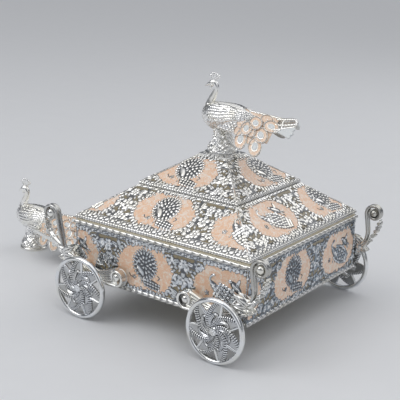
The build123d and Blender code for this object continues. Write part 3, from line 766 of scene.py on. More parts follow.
def evenly(path: Array, step: float) -> tuple[Array, Array]:
    """Walk along a path.

    Args:
        path: Flat points of the path.
        step: Distance wanted from one place to the next.

    Returns:
        Places, and the way that the path runs there in degrees.
    """
    along = np.concatenate([[0], np.cumsum(np.linalg.norm(np.diff(path, axis=0), axis=1))])
    places = np.linspace(0, along[-1], max(2, round(along[-1] / step) + 1))
    points = np.stack([np.interp(places, along, path[:, axis]) for axis in (0, 1)], -1)
    heading = np.gradient(points, axis=0)
    return points, np.degrees(np.arctan2(heading[:, 1], heading[:, 0]))


class Die:
    """Relief of one stamped panel, pressed boss by boss on a grid of millimetres."""

    GROUND = 0.5    # least height between the fields
    BENEATH = 0.55  # height of the ovals under the figures, darkened with painted shade

    def __init__(self, across: Array, up: Array, seed: int) -> None:
        """Start with a flat sheet.

        Args:
            across: Distance along the panel of each grid point.
            up: Distance up the panel of each grid point.
            seed: Seed of its small irregularities.
        """
        self.across, self.up = across, up
        self.high, self.peach, self.dark, self.pierced = np.zeros((4, *across.shape))
        self.random = np.random.default_rng(seed)

    def turned(self, at: Sequence[float], length: float, width: float, turn: float,
               part: tuple = ()) -> tuple[Array, Array]:
        """Measure the sheet along and across an oval.

        Args:
            at: The oval's middle.
            length: Its length.
            width: Its width.
            turn: Degrees from the panel's base to its length.
            part: Rows and columns that are wanted, if not all.

        Returns:
            Distances along and across the oval, in its half sizes.
        """
        x, y = self.across[part] - at[0], self.up[part] - at[1]
        cos, sin = math.cos(math.radians(turn)), math.sin(math.radians(turn))
        return (x * cos + y * sin) / (length / 2), (y * cos - x * sin) / (width / 2)

    def boss(self, at: Sequence[float], length: float, width: float, turn: float, high: float,
             taper: float = 0.0, sink: float = 0.0) -> None:
        """Press one oval boss.

        Args:
            at: Its middle.
            length: Its length.
            width: Its width.
            turn: Degrees from the panel's base to its length.
            high: Its height.
            taper: How much narrower it is towards its far end.
            sink: Depth of the groove along its middle.
        """
        reach = max(length, width) * 0.55
        rows = slice(*np.searchsorted(self.up[:, 0], (at[1] - reach, at[1] + reach)))
        if rows.start >= rows.stop:
            return
        near = np.flatnonzero(np.abs(self.across[rows] - at[0]).min(0) < reach)
        if not len(near):
            return
        part = (rows, slice(near[0], near[-1] + 1))
        along, off = self.turned(at, length, width, turn, part)
        off = off * (1 + taper * along)
        shape = high * rounded(np.hypot(along, off)) ** 0.8
        if sink:
            shape = shape - sink * clamp(1 - np.abs(off) * 4) * (np.abs(along) < 0.75)
        self.high[part] = np.maximum(self.high[part], shape)

    def sunk(self, at: Sequence[float], length: float, width: float, turn: float,
             dark: float = 1.0) -> None:
        """Lay a low oval darkened with painted shade, from which a figure stands out.

        Args:
            at: Its middle.
            length: Its length.
            width: Its width.
            turn: Degrees from the panel's base to its length.
            dark: How dark its painted shade is.
        """
        inside = clamp((1 - np.hypot(*self.turned(at, length, width, turn))) * 8)
        self.high = np.where(inside > 0.3, self.BENEATH, self.high)
        self.dark = np.maximum(self.dark, dark * inside)

    def line(self, points: Iterable[Sequence[float]], width: float, high: float,
             style: Line = Line.PLAIN) -> None:
        """Press a line of ornament.

        Args:
            points: Places that it runs through.
            width: Its width.
            high: Its height.
            style: How it is worked.
        """
        for place, way in zip(*evenly(spline(points, 120), width * style.step)):
            self.boss(place, width * style.long, width * style.wide, way + style.turn, high)

    def flower(self, at: Sequence[float], radius: float, petals: int, turn: float,
               high: float) -> None:
        """Press a flower with a bead in its middle.

        Args:
            at: Its middle.
            radius: Its radius.
            petals: Number of petals.
            turn: Degrees that it is turned.
            high: Height of its petals.
        """
        for number in range(petals):
            angle = turn + 360 * number / petals
            spot = row(*at) + polar(0.6 * radius, angle)
            self.boss(spot, 0.9 * radius, 0.72 * radius, angle, high, -0.25, 0.25 * high)
        self.boss(at, 0.62 * radius, 0.62 * radius, 0, 1.3 * high)

    def cartouche(self, at: Point, wide: float, tall: float) -> None:
        """Set out a rounded field for peach enamel, in a border of small leaves.

        Args:
            at: Its middle.
            wide: Half of its width.
            tall: Half of its height.
        """
        soft = 0.9  # radius that rounds its corners
        side = row(0, 1, 0.56, 1, 1, 0.14, 0.84, -0.72, 0.58, -1, 0, -1).reshape(-1, 2)
        side = side * row(wide, tall)
        place = np.stack([np.abs(self.across - at[0]), self.up - at[1]], -1)
        beyond = np.zeros_like(self.across)
        for start, end in zip(side, side[1:]):
            normal = unit(row(start[1] - end[1], end[0] - start[0]))
            beyond += np.exp((place - start) @ normal / soft)
        around = np.arctan2(self.up - at[1], self.across - at[0])
        outside = soft * np.log(beyond) + 0.7 * np.sin(5 * around + at[0])
        self.peach = np.maximum(self.peach, clamp(0.5 - outside / 0.8))
        sizes = (4.4, 2.2, 3.4, 1.9, 2.8, 3.8, 2.0)
        around = np.concatenate([side[::-1] * row(-1, 1), side[1:]])
        for number, (spot, way) in enumerate(zip(*evenly(around, 2.9))):
            if abs(spot[0]) < 0.01 and spot[1] < 0:
                continue
            inward = polar(1.0, way - 90)
            size = sizes[number % len(sizes)] * self.random.uniform(0.8, 1.2)
            lean = way - 90 + self.random.uniform(-75, 75)
            shift = self.random.uniform(-0.7, 0.9)
            self.boss(row(*at) + spot + inward * shift, size, 2.3, lean, 0.82, 0.15, 0.2)
            lean = way + self.random.uniform(-40, 40)
            self.boss(row(*at) + spot - inward * 1.4, 3.2, 2.4, lean, 0.75, 0, 0.15)

    def cluster(self, at: Point, tall: float) -> None:
        """Press the flowers and leaves that stand between two fields.

        Args:
            at: Middle of the cluster.
            tall: Half of its height.
        """
        self.flower(at, 5.0, 5, 90, 0.9)
        self.flower((at[0], at[1] - 0.76 * tall), 4.3, 6, 15, 0.85)
        self.flower((at[0], at[1] + 0.70 * tall), 3.9, 6, 0, 0.85)
        leaves = ((7.4, 0.02, 4.4, 3.0, 0), (8.0, -0.26, 3.6, 2.6, -35), (6.0, 0.76, 6.6, 3.6, -14),
                  (11.8, 0.66, 6.0, 3.2, -34), (6.4, 0.46, 4.8, 2.5, 24), (12.8, 0.90, 4.4, 2.3, 6),
                  (6.6, -0.66, 6.0, 3.5, 30), (8.0, -0.92, 6.0, 2.8, -6),
                  (12.6, -0.74, 5.4, 3.1, -22), (16.6, -0.90, 4.8, 2.6, 12),
                  (3.4, -0.43, 4.0, 1.9, 62), (3.2, 0.36, 3.6, 1.6, -60))
        holes = ((7.4, 0.34, 3.8, 2.3), (13.6, 0.40, 2.8, 2.3), (3.0, -0.50, 2.5, 1.9),
                 (11.6, -0.46, 3.7, 2.2), (3.8, 0.96, 3.8, 1.3), (16.6, 0.94, 3.9, 1.9),
                 (12.6, -1.0, 3.9, 1.4), (20.0, -0.92, 3.0, 1.6))
        for side in (1, -1):
            for x, y, length, width, turn in leaves:
                spot = (at[0] + side * x, at[1] + tall * y)
                self.boss(spot, length, width, side * turn, 0.78, 0.2 * side, 0.3)
            for x, y, wide, high in holes:
                off = np.hypot((self.across - at[0] - side * x) / wide,
                               (self.up - at[1] - tall * y) / high / 1.15)
                self.pierced = np.maximum(self.pierced, clamp((1.5 - off) * 4))

    def flying_bird(self, at: Point, size: float) -> None:
        """Press a small bird on the wing.

        Args:
            at: Middle of its body.
            size: Its length.
        """
        self.sunk(at, 1.05 * size, 0.52 * size, -38)
        # reach and degrees of each boss, its length and width, and how it lies
        bosses = ((0, 0, 0.8, 0.32, -38, 1.1), (0.52, 146, 0.3, 0.24, 0, 1.0),
                  (0.36, 62, 0.58, 0.26, 70, 1.0, 0.3, 0.2),
                  (0.34, -140, 0.46, 0.24, 24, 0.95, -0.3, 0.2),
                  (0.56, -52, 0.46, 0.15, -52, 0.95), (0.56, -30, 0.46, 0.15, -30, 0.95))
        for reach, way, length, width, *rest in bosses:
            spot = row(*at) + polar(reach * size, way)
            self.boss(spot, length * size, width * size, *rest)

    def dancing_peacock(self, at: Point) -> None:
        """Press a peacock with its train spread in a disc.

        Args:
            at: Middle of its field.
        """
        at = row(*at)
        disc = at + row(0.3, 2.6)
        self.sunk(disc, 20.8, 22.4, 0)
        self.sunk(at + row(6.0, -10.6), 16.5, 7.2, -8)
        for radius, length in ((2.4, 2.8), (5.2, 3.1), (8.2, 3.2)):
            count = round(2 * math.pi * radius / 2.7)
            for number in range(count):
                angle = 360 * (number + 0.5 * (round(radius) % 2)) / count
                spot = disc + polar(radius, angle) * row(1.0, 1.07)
                self.boss(spot, length, 1.8, angle, 1.0, -0.35, 0.2)
        for number in range(30):
            angle = 12 * number
            self.boss(disc + polar(10.3, angle) * row(1.0, 1.07), 2.5, 1.7, angle, 0.8)
        bird = at + row(-3.4, -2.2)
        self.sunk(bird, 11.0, 6.2, -52)
        self.boss(bird, 9.4, 4.6, -52, 1.35, 0.25)
        self.line([bird + row(-1.8, 2.0), bird + row(-3.4, 4.4), bird + row(-2.0, 6.8)], 1.3, 1.2)
        self.boss(bird + row(-1.6, 7.0), 2.0, 1.5, 10, 1.25)
        for step in range(6):
            for level in range(3):
                spot = at + row(0.6 + 2.5 * step, -8.4 - 0.3 * step - 2.1 * level)
                self.boss(spot, 2.7, 1.9, -14, 0.85)
        self.boss(at + row(-0.4, -10.2), 1.0, 5.2, 8, 0.8)
        self.boss(at + row(-2.6, -10.0), 1.0, 4.8, -8, 0.8)
        self.flower(at + row(-9.0, -8.4), 1.9, 5, 0, 0.7)
        for stem in (((-13.6, -6.6), (-12.0, -8.6), (-9.6, -8.6)),
                     ((12.0, -6.4), (13.4, -4.4), (11.6, -3.2))):
            self.line(at + np.array(stem), 0.9, 0.55)

    def trailing_peacock(self, at: Point) -> None:
        """Press a peacock with its train folded behind it, and a small bird above.

        Args:
            at: Middle of its field.
        """
        at = row(*at)
        start, end = at + row(-5.0, 0.5), at + row(13.0, -9.0)
        along = unit(end - start)
        off = row(-along[1], along[0])
        way = math.degrees(math.atan2(along[1], along[0]))
        self.sunk((start + end) / 2 + off * 0.4, 22.5, 13.4, way, 0.6)
        self.sunk(at + row(-7.0, 1.0), 12.0, 5.6, -46, 0.6)
        for step in range(9):
            share = step / 8
            half = 2.2 + 3.9 * math.sin(math.pi * min(1.0, 0.2 + share * 0.75))
            count = 5 + (step % 2)
            for number in range(count):
                spot = start + (end - start) * share + off * half * (2 * number / (count - 1) - 1)
                self.boss(spot, 3.3, 2.5, way, 1.15, -0.2, 0.3)
        for step in range(4):
            spot = at + row(-9.2 + 1.7 * step, 3.2 - 1.9 * step)
            self.boss(spot, 5.0, 2.3, -20, 1.25 - 0.05 * step, 0, 0.3)
        self.line(at + np.array(((-9.6, 3.6), (-11.4, 6.6), (-9.8, 9.2))), 1.8, 1.1)
        self.boss(at + row(-8.6, 9.8), 3.2, 1.9, 6, 1.1)
        self.boss(at + row(-5.6, -6.0), 1.0, 5.6, 10, 0.7)
        self.boss(at + row(-8.0, -5.6), 1.0, 5.6, -6, 0.7)
        self.flying_bird(at + row(9.6, 5.0), 11.0)
        self.flower(at + row(-13.6, -4.2), 2.0, 5, 30, 0.7)

    def finish(self, level: float) -> tuple[Array, Array]:
        """Pour the enamels, and work out what the panel shows.

        Args:
            level: Height of the enamel's surface.

        Returns:
            Height of the surface and its relief colours.
        """
        ground = self.GROUND * (1 - self.pierced) * (self.peach < 0.5)
        self.high = np.maximum(self.high, ground)
        near, far = blur(self.high, 2), blur(self.high, 6)
        low = clamp(0.5 + (level - self.high) / 0.2)
        # tarnish and painted shade: darker in hollows, on the low ground and in the ovals under the
        # figures
        deep = clamp((0.6 * near + 0.4 * far - self.high) * 5 - 0.04)
        deep = np.maximum(deep, np.clip((0.66 - self.high) / 0.14, 0, 0.85))
        deep = np.maximum(deep, self.dark * clamp((0.78 - self.high) / 0.25))
        relief = np.stack([low * self.peach, low * (1 - self.peach), deep], -1)
        return np.maximum(self.high, level * 0.9), relief


class Motif(Enum):
    """What fills one field of the running ornament."""

    DANCING = "dancing"
    TRAILING = "trailing"


@dataclass
class StampedPanel:
    """One flat panel of the walls or the lid, stamped with the running ornament."""

    node: str
    body: str
    quarter: int              # quarter turns from the left side
    low_half: float
    low_z: float
    high_half: float
    high_z: float
    first: float              # middle of one field along the panel
    motif: Motif              # what that field holds
    low_band: float           # width of the leaf band at the base
    high_band: float
    field_half: float         # half height of the fields
    field_wide: float = 26.8  # half width of the fields
    pitch: float = 0.36       # of the grid
    sheet: float = 0.9
    proud: float = -0.35      # plane of the ground outside the panel's face
    level: float = 0.3        # height of the enamel
    repeat: float = 67.5      # from one field's middle to the next
    band_pitch: float = 5.4   # from one leaf of the bands to the next
    finish: Finish = Finish.PANEL

    def stamp(self, across: Array, up: Array) -> tuple[Array, Array]:
        """Press the ornament.

        Args:
            across: Distance along the panel of each grid point.
            up: Distance up the panel of each grid point.

        Returns:
            Height of the surface and its relief colours.
        """
        top = float(up[-1, 0])
        die = Die(across, up, 11 * self.quarter + round(self.low_z))
        middle = (self.low_band + top - self.high_band) / 2
        tall = self.field_half
        fields = range(-3, 4)
        for number in fields:
            at = (self.first + number * self.repeat, middle)
            if abs(at[0]) > self.low_half + 24:
                continue
            die.cartouche(at, self.field_wide, tall)
            dancing = (self.motif is Motif.DANCING) == (number % 2 == 0)
            (die.dancing_peacock if dancing else die.trailing_peacock)(at)
        for number in fields:
            die.cluster((self.first + (number + 0.5) * self.repeat, middle), tall)
        self.edge(die, top)
        self.scatter(die, middle, tall)
        return die.finish(self.level)

    def edge(self, die: Die, top: float) -> None:
        """Press the bands along the panel's base and top, and a line up each seam.

        Args:
            die: The panel's relief.
            top: Height of the panel along its slope.
        """
        reach = self.low_half
        for low, high in ((0.0, self.low_band), (top - self.high_band, top)):
            wide, middle = high - low, (low + high) / 2
            die.peach[(die.up > low) & (die.up < high)] = 0
            for x in np.arange(-reach, reach, self.band_pitch):
                die.boss((x, middle), 4.8, 0.56 * wide, 8, 0.85, 0, 0.25)
                for lift in (-0.26, 0.26):
                    spot = (x + self.band_pitch / 2, middle + lift * wide)
                    die.boss(spot, 1.7, 0.42 * wide, 90 * lift, 0.78)
            for edge in (low + 0.3, high - 0.3):
                die.line([(-reach, edge), (0, edge), (reach, edge)], 0.9, 0.6)
        for side in (-1, 1):
            low, high = row(side * (reach - 1.0), 0.0), row(side * (self.high_half - 1.0), top)
            die.line([low, (low + high) / 2, high], 0.9, 0.7, Line.ROPE)

    def scatter(self, die: Die, middle: float, tall: float) -> None:
        """Fill the ground between the fields with small leaves.

        Args:
            die: The panel's relief.
            middle: Height of the fields' middle.
            tall: Half of the fields' height.
        """
        draw = die.random.uniform
        for _ in range(int(0.8 * self.low_half * tall)):
            x, y = draw(-self.low_half, self.low_half), middle + draw(-tall, tall)
            turn, size = draw(0, 360), draw(3.4, 6.4)
            line = np.searchsorted(die.up[:, 0], y).clip(0, len(die.up) - 1)
            at = (line, np.abs(die.across[line] - x).argmin())
            if max(die.peach[at], die.high[at], 2 * die.pierced[at]) < 0.3:
                die.boss((x, y), size, 0.58 * size, turn, 0.9, 0.2, 0.3)

    def build(self, bench: Bench) -> None:
        """Make the panel.

        Args:
            bench: Bench that takes it.
        """
        run, rise = self.low_half - self.high_half, self.high_z - self.low_z
        slope = math.hypot(run, rise)
        outward, upward = rise / slope, run / slope
        share = np.linspace(0, 1, int(slope / self.pitch) + 1)[:, None]
        half = self.low_half - run * share
        across = half * np.linspace(-1, 1, int(2 * self.low_half / self.pitch) + 1)
        high, relief = self.stamp(across, np.broadcast_to(share * slope, across.shape))
        edge = clamp(1 - (half - np.abs(across)) / 2.5) * np.sign(across)
        faces = []
        for height in (high + self.proud, np.full_like(high, -self.sheet)):
            along, out = across + edge * outward * height, half + outward * height
            level = self.low_z + rise * share + upward * height
            faces.append(np.stack([*on_side(self.quarter, along, out), level], -1))
        shell = Shell()
        shell.slab(*faces, relief)
        bench.deliver(f"stamped_{self.node}", shell, self.body, self.finish, [self.node])


# ---- Mouldings ----
class Twist(Enum):
    """How a moulding's face is worked."""

    ROPE = "rope"
    LEAVES = "leaves"


@dataclass
class Moulding:
    """Square moulding of four mitred strips with a worked face."""

    node: str
    body: str
    inner: float              # half side of its inner edge
    outer: float              # half side of its outer edge
    low: float
    high: float
    twist: Twist
    pitch: float
    depth: float              # depth of the cuts in its face
    step: float = 0.45        # between stations along it
    corners: int = 15         # points over the worked face

    def build(self, bench: Bench) -> None:
        """Make the moulding.

        Args:
            bench: Bench that takes it.
        """
        middle, half = (self.low + self.high) / 2, (self.high - self.low) / 2
        turn = np.linspace(-math.pi / 2, math.pi / 2, self.corners)
        wide = min(half, self.outer - self.inner)
        face = np.stack([self.outer - wide + wide * np.cos(turn), middle + half * np.sin(turn)], -1)
        back = row(self.inner, self.high, self.inner, self.low).reshape(2, 2)
        profile = np.concatenate([face, back])
        lift = np.concatenate([np.cos(turn) ** 0.5, np.zeros(2)])
        level = np.concatenate([np.sin(turn), np.zeros(2)])
        stations = np.linspace(-1, 1, int(2 * self.outer / self.step))[:, None]
        place = stations * self.outer / self.pitch
        if self.twist is Twist.ROPE:
            wave = waves(place + 0.42 * level)
        else:
            wave = waves(place + 0.55 * np.abs(level))
            wave = wave * (0.55 + 0.45 * np.abs(level))
        cut = (1 - wave ** 0.7) * lift
        out = profile[None, :, 0] - self.depth * cut
        along, height = stations * out, np.broadcast_to(profile[None, :, 1], out.shape)
        shell = Shell()
        for quarter in range(4):
            grid = np.stack([*on_side(quarter, along, out), height], -1)
            shell.tube(grid, relief_of(grid, cut * 0.85))
        bench.deliver(f"worked_{self.node}", shell, self.body, Finish.MOULDING, [self.node])


# ---- Studio ----
def stand(name: str, data: bpy.types.ID, axes: Sequence[Array], place: Array) -> bpy.types.Object:
    """Put a camera or a lamp in its place.

    Args:
        name: Its name.
        data: The camera or the lamp.
        axes: Its right, its up and the way back from what it looks at.
        place: Where it stands, in the frame's metres.

    Returns:
        The new object.
    """
    matrix = np.eye(4)
    matrix[:3, :3], matrix[:3, 3] = np.stack(axes, 1), place
    piece = bpy.data.objects.new(name, data)
    piece.matrix_world = Matrix(matrix.tolist())
    bpy.context.collection.objects.link(piece)
    return piece


@dataclass
class Studio:
    """Floor, lights and camera."""

    middle: float                  # middle of the box along the frame, in millimetres
    azimuth: float = 35.067
    elevation: float = 16.405
    roll: float = 2.097
    distance: float = 745.3        # millimetres
    aim: Point = (-15.14, 45.45)   # right of and above the pivot
    pivot: float = 34.2            # height of the point that the camera turns about
    focal: float = 88.05
    floor_size: float = 14.0       # metres
    floor_shade: Colour = (0.80, 0.81, 0.83)
    sky_shades: tuple[tuple[float, Colour], ...] = (
        (0.0, (0.55, 0.56, 0.58)), (0.06, (0.30, 0.31, 0.33)), (0.35, (0.10, 0.11, 0.13)),
        (0.62, (0.30, 0.31, 0.33)), (1.0, (1.15, 1.15, 1.15)))
    lamps: tuple[tuple[str, Spot, float, float], ...] = (  # place, side in metres and watts
        ("key_lamp", (-700, -900, 1100), 1.0, 6.0), ("fill_lamp", (1100, -500, 800), 0.9, 1.6),
        ("back_lamp", (300, 900, 900), 0.9, 2.4))
    lit: Spot = (0, 0, 60)         # what the lamps look at

    def camera(self) -> None:
        """Place the camera."""
        az, el, ro = (math.radians(v) for v in (self.azimuth, self.elevation, self.roll))
        back = row(math.sin(az) * math.cos(el), -math.cos(az) * math.cos(el), math.sin(el))
        right = row(math.cos(az), math.sin(az), 0)
        up = np.cross(back, right)
        target = row(0, 0, self.pivot) + right * self.aim[0] + up * self.aim[1]
        place = (target + back * self.distance + row(self.middle, 0, 0)) * MM
        axes = (right * math.cos(ro) + up * math.sin(ro), up * math.cos(ro) - right * math.sin(ro),
                back)
        lens = bpy.data.cameras.new("camera")
        lens.lens, lens.sensor_width, lens.clip_start = self.focal, 36.0, 0.01
        bpy.context.scene.camera = stand("camera", lens, axes, place)

    def floor(self) -> None:
        """Lay the floor."""
        side = row(-1, 1) * self.floor_size * 500
        x, y = np.meshgrid(side, side)
        mesh = bpy.data.meshes.new("floor")
        corners = np.stack([x, y, 0 * x], -1).reshape(-1, 3)[[0, 1, 3, 2]] * MM
        mesh.from_pydata(corners.tolist(), [], [[0, 1, 2, 3]])
        material = bpy.data.materials.new("floor")
        tree = Tree(material)
        darker = tuple(0.97 * part for part in self.floor_shade)
        shade = tree.mix(tree.noise(40.0, 3.0), self.floor_shade, darker)
        tree.paint({"Base Color": shade, "Roughness": 0.55})
        mesh.materials.append(material)
        floor = bpy.data.objects.new("floor", mesh)
        bpy.context.collection.objects.link(floor)

    def sky(self) -> None:
        """Light everything softly from a sky with a darker band for the metal to show."""
        world = bpy.data.worlds.new("studio")
        bpy.context.scene.world = world
        tree = Tree(world)
        place = tree.node("ShaderNodeTexCoord", output="Generated")
        height = tree.node("ShaderNodeSeparateXYZ", None, {0: place}, 2)
        ramp = tree.node("ShaderNodeValToRGB", {"stops": self.sky_shades}, {0: height})
        surface = tree.node("ShaderNodeBackground", None, {"Color": ramp, "Strength": 1.0})
        tree.node("ShaderNodeOutputWorld", None, {0: surface})

    def lamp(self, name: str, place: Spot, size: float, watts: float) -> None:
        """Hang a square soft lamp that looks at the box.

        Args:
            name: Its name.
            place: Where it hangs, in millimetres about the middle of the box.
            size: Its side in metres.
            watts: Its power.
        """
        light = bpy.data.lights.new(name, "AREA")
        light.size, light.energy = size, watts
        back = unit(row(*place) - row(*self.lit))
        right = unit(np.cross(row(0, 0, 1), back))
        place = (row(*place) + row(self.middle, 0, 0)) * MM
        stand(name, light, (right, np.cross(back, right), back), place)

    def build(self) -> None:
        """Set up the studio."""
        bpy.context.scene.view_settings.view_transform = "Standard"
        self.camera()
        self.floor()
        self.sky()
        for lamp in self.lamps:
            self.lamp(*lamp)


# ---- Wheels ----
OUTWARD = (0, -1, 0)  # the way that the left side's faces look


@dataclass
class Wheel:
    """Cast wheel with swirling pierced petals between its hub and a smooth ring."""

    end: str
    side: str
    along: float              # middle of the wheel, from the middle of the box
    phase: float              # degrees from the horizontal to one petal's tip
    out: float = 89.1
    radius: float = 23.4
    ring_width: float = 3.5
    ring_depth: float = 4.3
    petals: int = 7
    hub: float = 4.4
    bore: float = 2.45
    half_hub: float = 2.3
    # radius and degrees of the points of one petal's ridge, blade, raised edge, tip and web
    ridge: tuple[Point, ...] = ((2.9, 92), (5.2, 76), (8.0, 60), (11.0, 45), (14.3, 29),
                                (17.5, 18), (20.0, 9), (21.7, 0.5))
    blade: tuple[Point, ...] = ((3.8, 60), (6.0, 50), (8.5, 38), (10.5, 26), (12.4, 14),
                                (12.4, 6), (11.2, 1), (10.2, 5))
    rim: tuple[Point, ...] = ((12.4, -8), (14.4, -5.0), (16.5, -3.4), (19.0, -2.0),
                              (21.5, -0.6))
    tip: tuple[Point, ...] = ((21.9, 0.5), (17.5, 16), (13.8, 28), (13.6, 20), (13.9, 9),
                              (13.4, 0), (12.3, -8), (14.4, -5.0), (16.5, -3.4), (19.0, -2.0),
                              (21.9, -0.6))
    web: tuple[Point, ...] = ((4.2, 78), (5.6, 72), (8.0, 59), (11.0, 44), (13.4, 30),
                              (11.2, 22), (8.5, 36), (5.0, 52))

    def line(self, points: Iterable[Point], turn: float, depth: Array | float,
             steps: int) -> Array:
        """Run a smooth line through radii and degrees, at a depth outside the middle plane."""
        flat = spline([polar(radius, degrees + turn) for radius, degrees in points], steps)
        return upright(flat, depth)

    def plate(self, shell: Shell, points: Iterable[Point], turn: float, low: float,
              high: float) -> None:
        """Add a flat piece, darkened with painted shade.

        Args:
            shell: Surfaces of the wheel.
            points: Radius and degrees of its corners.
            turn: Degrees added to them.
            low: Where its back lies.
            high: Where its face lies.
        """
        ring = np.stack([polar(radius, degrees + turn) for radius, degrees in points])
        grid = np.stack([upright(ring, high), upright(ring, low)])
        shell.tube(grid, relief_of(grid, 0.5))

    def add_petal(self, shell: Shell, turn: float) -> None:
        """Add one petal: a roped ridge, a grooved blade and a flat tip with a raised edge.

        Args:
            shell: Surfaces of the wheel.
            turn: Degrees to its tip.
        """
        steps = 110
        share = np.linspace(0, 1, steps)
        rope = np.abs(np.sin(np.pi * share * 18)) ** 0.6
        climb = 1.3 * clamp(1 - share / 0.22)
        path = self.line(self.ridge, turn, 0.3 + 0.4 * np.sin(np.pi * share) + climb, steps)
        size = spread((0.6, 0.8, 0.98, 1.06, 1.0, 0.8, 0.5), steps) * (0.8 + 0.22 * rope)
        grid = swept(path, ring_section(3.5, 3.3, 14), OUTWARD, size)
        # painted shade in the rope's grooves
        shell.tube(grid, relief_of(grid, clamp(2.2 * (1 - rope) ** 0.9)[:, None]))

        steps = 44
        path = self.line(self.blade, turn, 0.4, steps)
        v = np.linspace(-1, 1, 17)
        groove = 0.5 + 0.5 * np.abs(np.cos(1.5 * np.pi * v)) ** 0.7
        top = np.stack([v, groove * rounded(v * 0.92)], -1)
        under = np.stack([v[::-1], -rounded(v[::-1] * 0.92)], -1)
        wide = spread((0.7, 1.1, 1.5, 1.65, 1.3, 0.95, 0.75, 0.6), steps)
        sections = np.concatenate([top, under]) * np.stack([wide, 0.9 + 0.25 * wide], -1)[:, None]
        grid = swept(path, sections, OUTWARD)
        # painted shade in the blade's grooves and on its underside
        deep = np.concatenate([clamp(2.2 * (1 - groove)), np.full(len(v), 0.3)])
        shell.tube(grid, relief_of(grid, deep))

        self.plate(shell, self.tip, turn, -1.1, 0.75)
        self.plate(shell, self.web, turn, -0.9, 0.2)
        edge = self.line(self.rim, turn, 0.75, 20)
        size = spread((1.3, 1.1, 0.95, 0.6), 20)
        shell.tube(swept(edge, ring_section(1.9, 1.9, 10), OUTWARD, size))

    def build(self, bench: Bench) -> None:
        """Make the wheel.

        Args:
            bench: Bench that takes it.
        """
        shell = Shell()
        section = ring_section(self.ring_width, self.ring_depth, 16)
        shell.lathe(section + row(self.radius - self.ring_width / 2, 0), 120)
        for number in range(self.petals):
            self.add_petal(shell, self.phase + 360 * number / self.petals)
        profile = [(self.bore, -self.half_hub), (self.hub, -self.half_hub), (self.hub + 0.5, -0.4),
                   (self.hub - 0.6, 0.7), (self.hub - 1.2, 1.5), (self.bore, 2.1)]
        shell.lathe(profile, 48)
        hand = -1 if self.side == "left" else 1
        if hand > 0:
            shell.flip(-1, -1)
        shell.shift((self.along, self.out * hand, self.radius))
        name = f"wheel_{self.end}_{self.side}"
        bench.deliver(f"cast_{name}", shell, name, Finish.WHEEL, [name])
        bench.dress(f"wheel_bush_{self.end}_{self.side}", Finish.BUSH)


@dataclass
class AxleEnds:
    """Beaded rosettes on the four axle ends."""

    along: float = 59.9
    height: float = 23.4
    face: float = 91.55       # outer face of the hubs
    radius: float = 2.7
    beads: int = 7

    def build(self, bench: Bench) -> None:
        """Make the rosettes.

        Args:
            bench: Bench that takes them.
        """
        shell = Shell()
        for end in (-1, 1):
            for hand in (-1, 1):
                disc = Shell()
                disc.lathe([(0.02, 0), (self.radius, 0), (self.radius, 0.35),
                            (self.radius - 0.5, 0.6), (0.02, 0.7)], 32)
                disc.ball((0, -0.55, 0), (1.0, 0.62, 1.0), steps=10)
                for number in range(self.beads):
                    x, z = polar(self.radius - 0.8, 360 * number / self.beads)
                    disc.ball((x, -0.5, z), (0.7, 0.5, 0.7), steps=8)
                if hand > 0:
                    disc.flip(-1, -1)
                disc.shift((end * self.along, hand * self.face, self.height))
                shell.join(disc)
        bench.deliver("axle_rosettes", shell, "chassis", Finish.WHEEL, ["axle_buttons"])
        for node in ("front_axle", "rear_axle", "axle_washers", "saddle_rivets", "bracket_rivets"):
            bench.dress(node, Finish.STEEL)


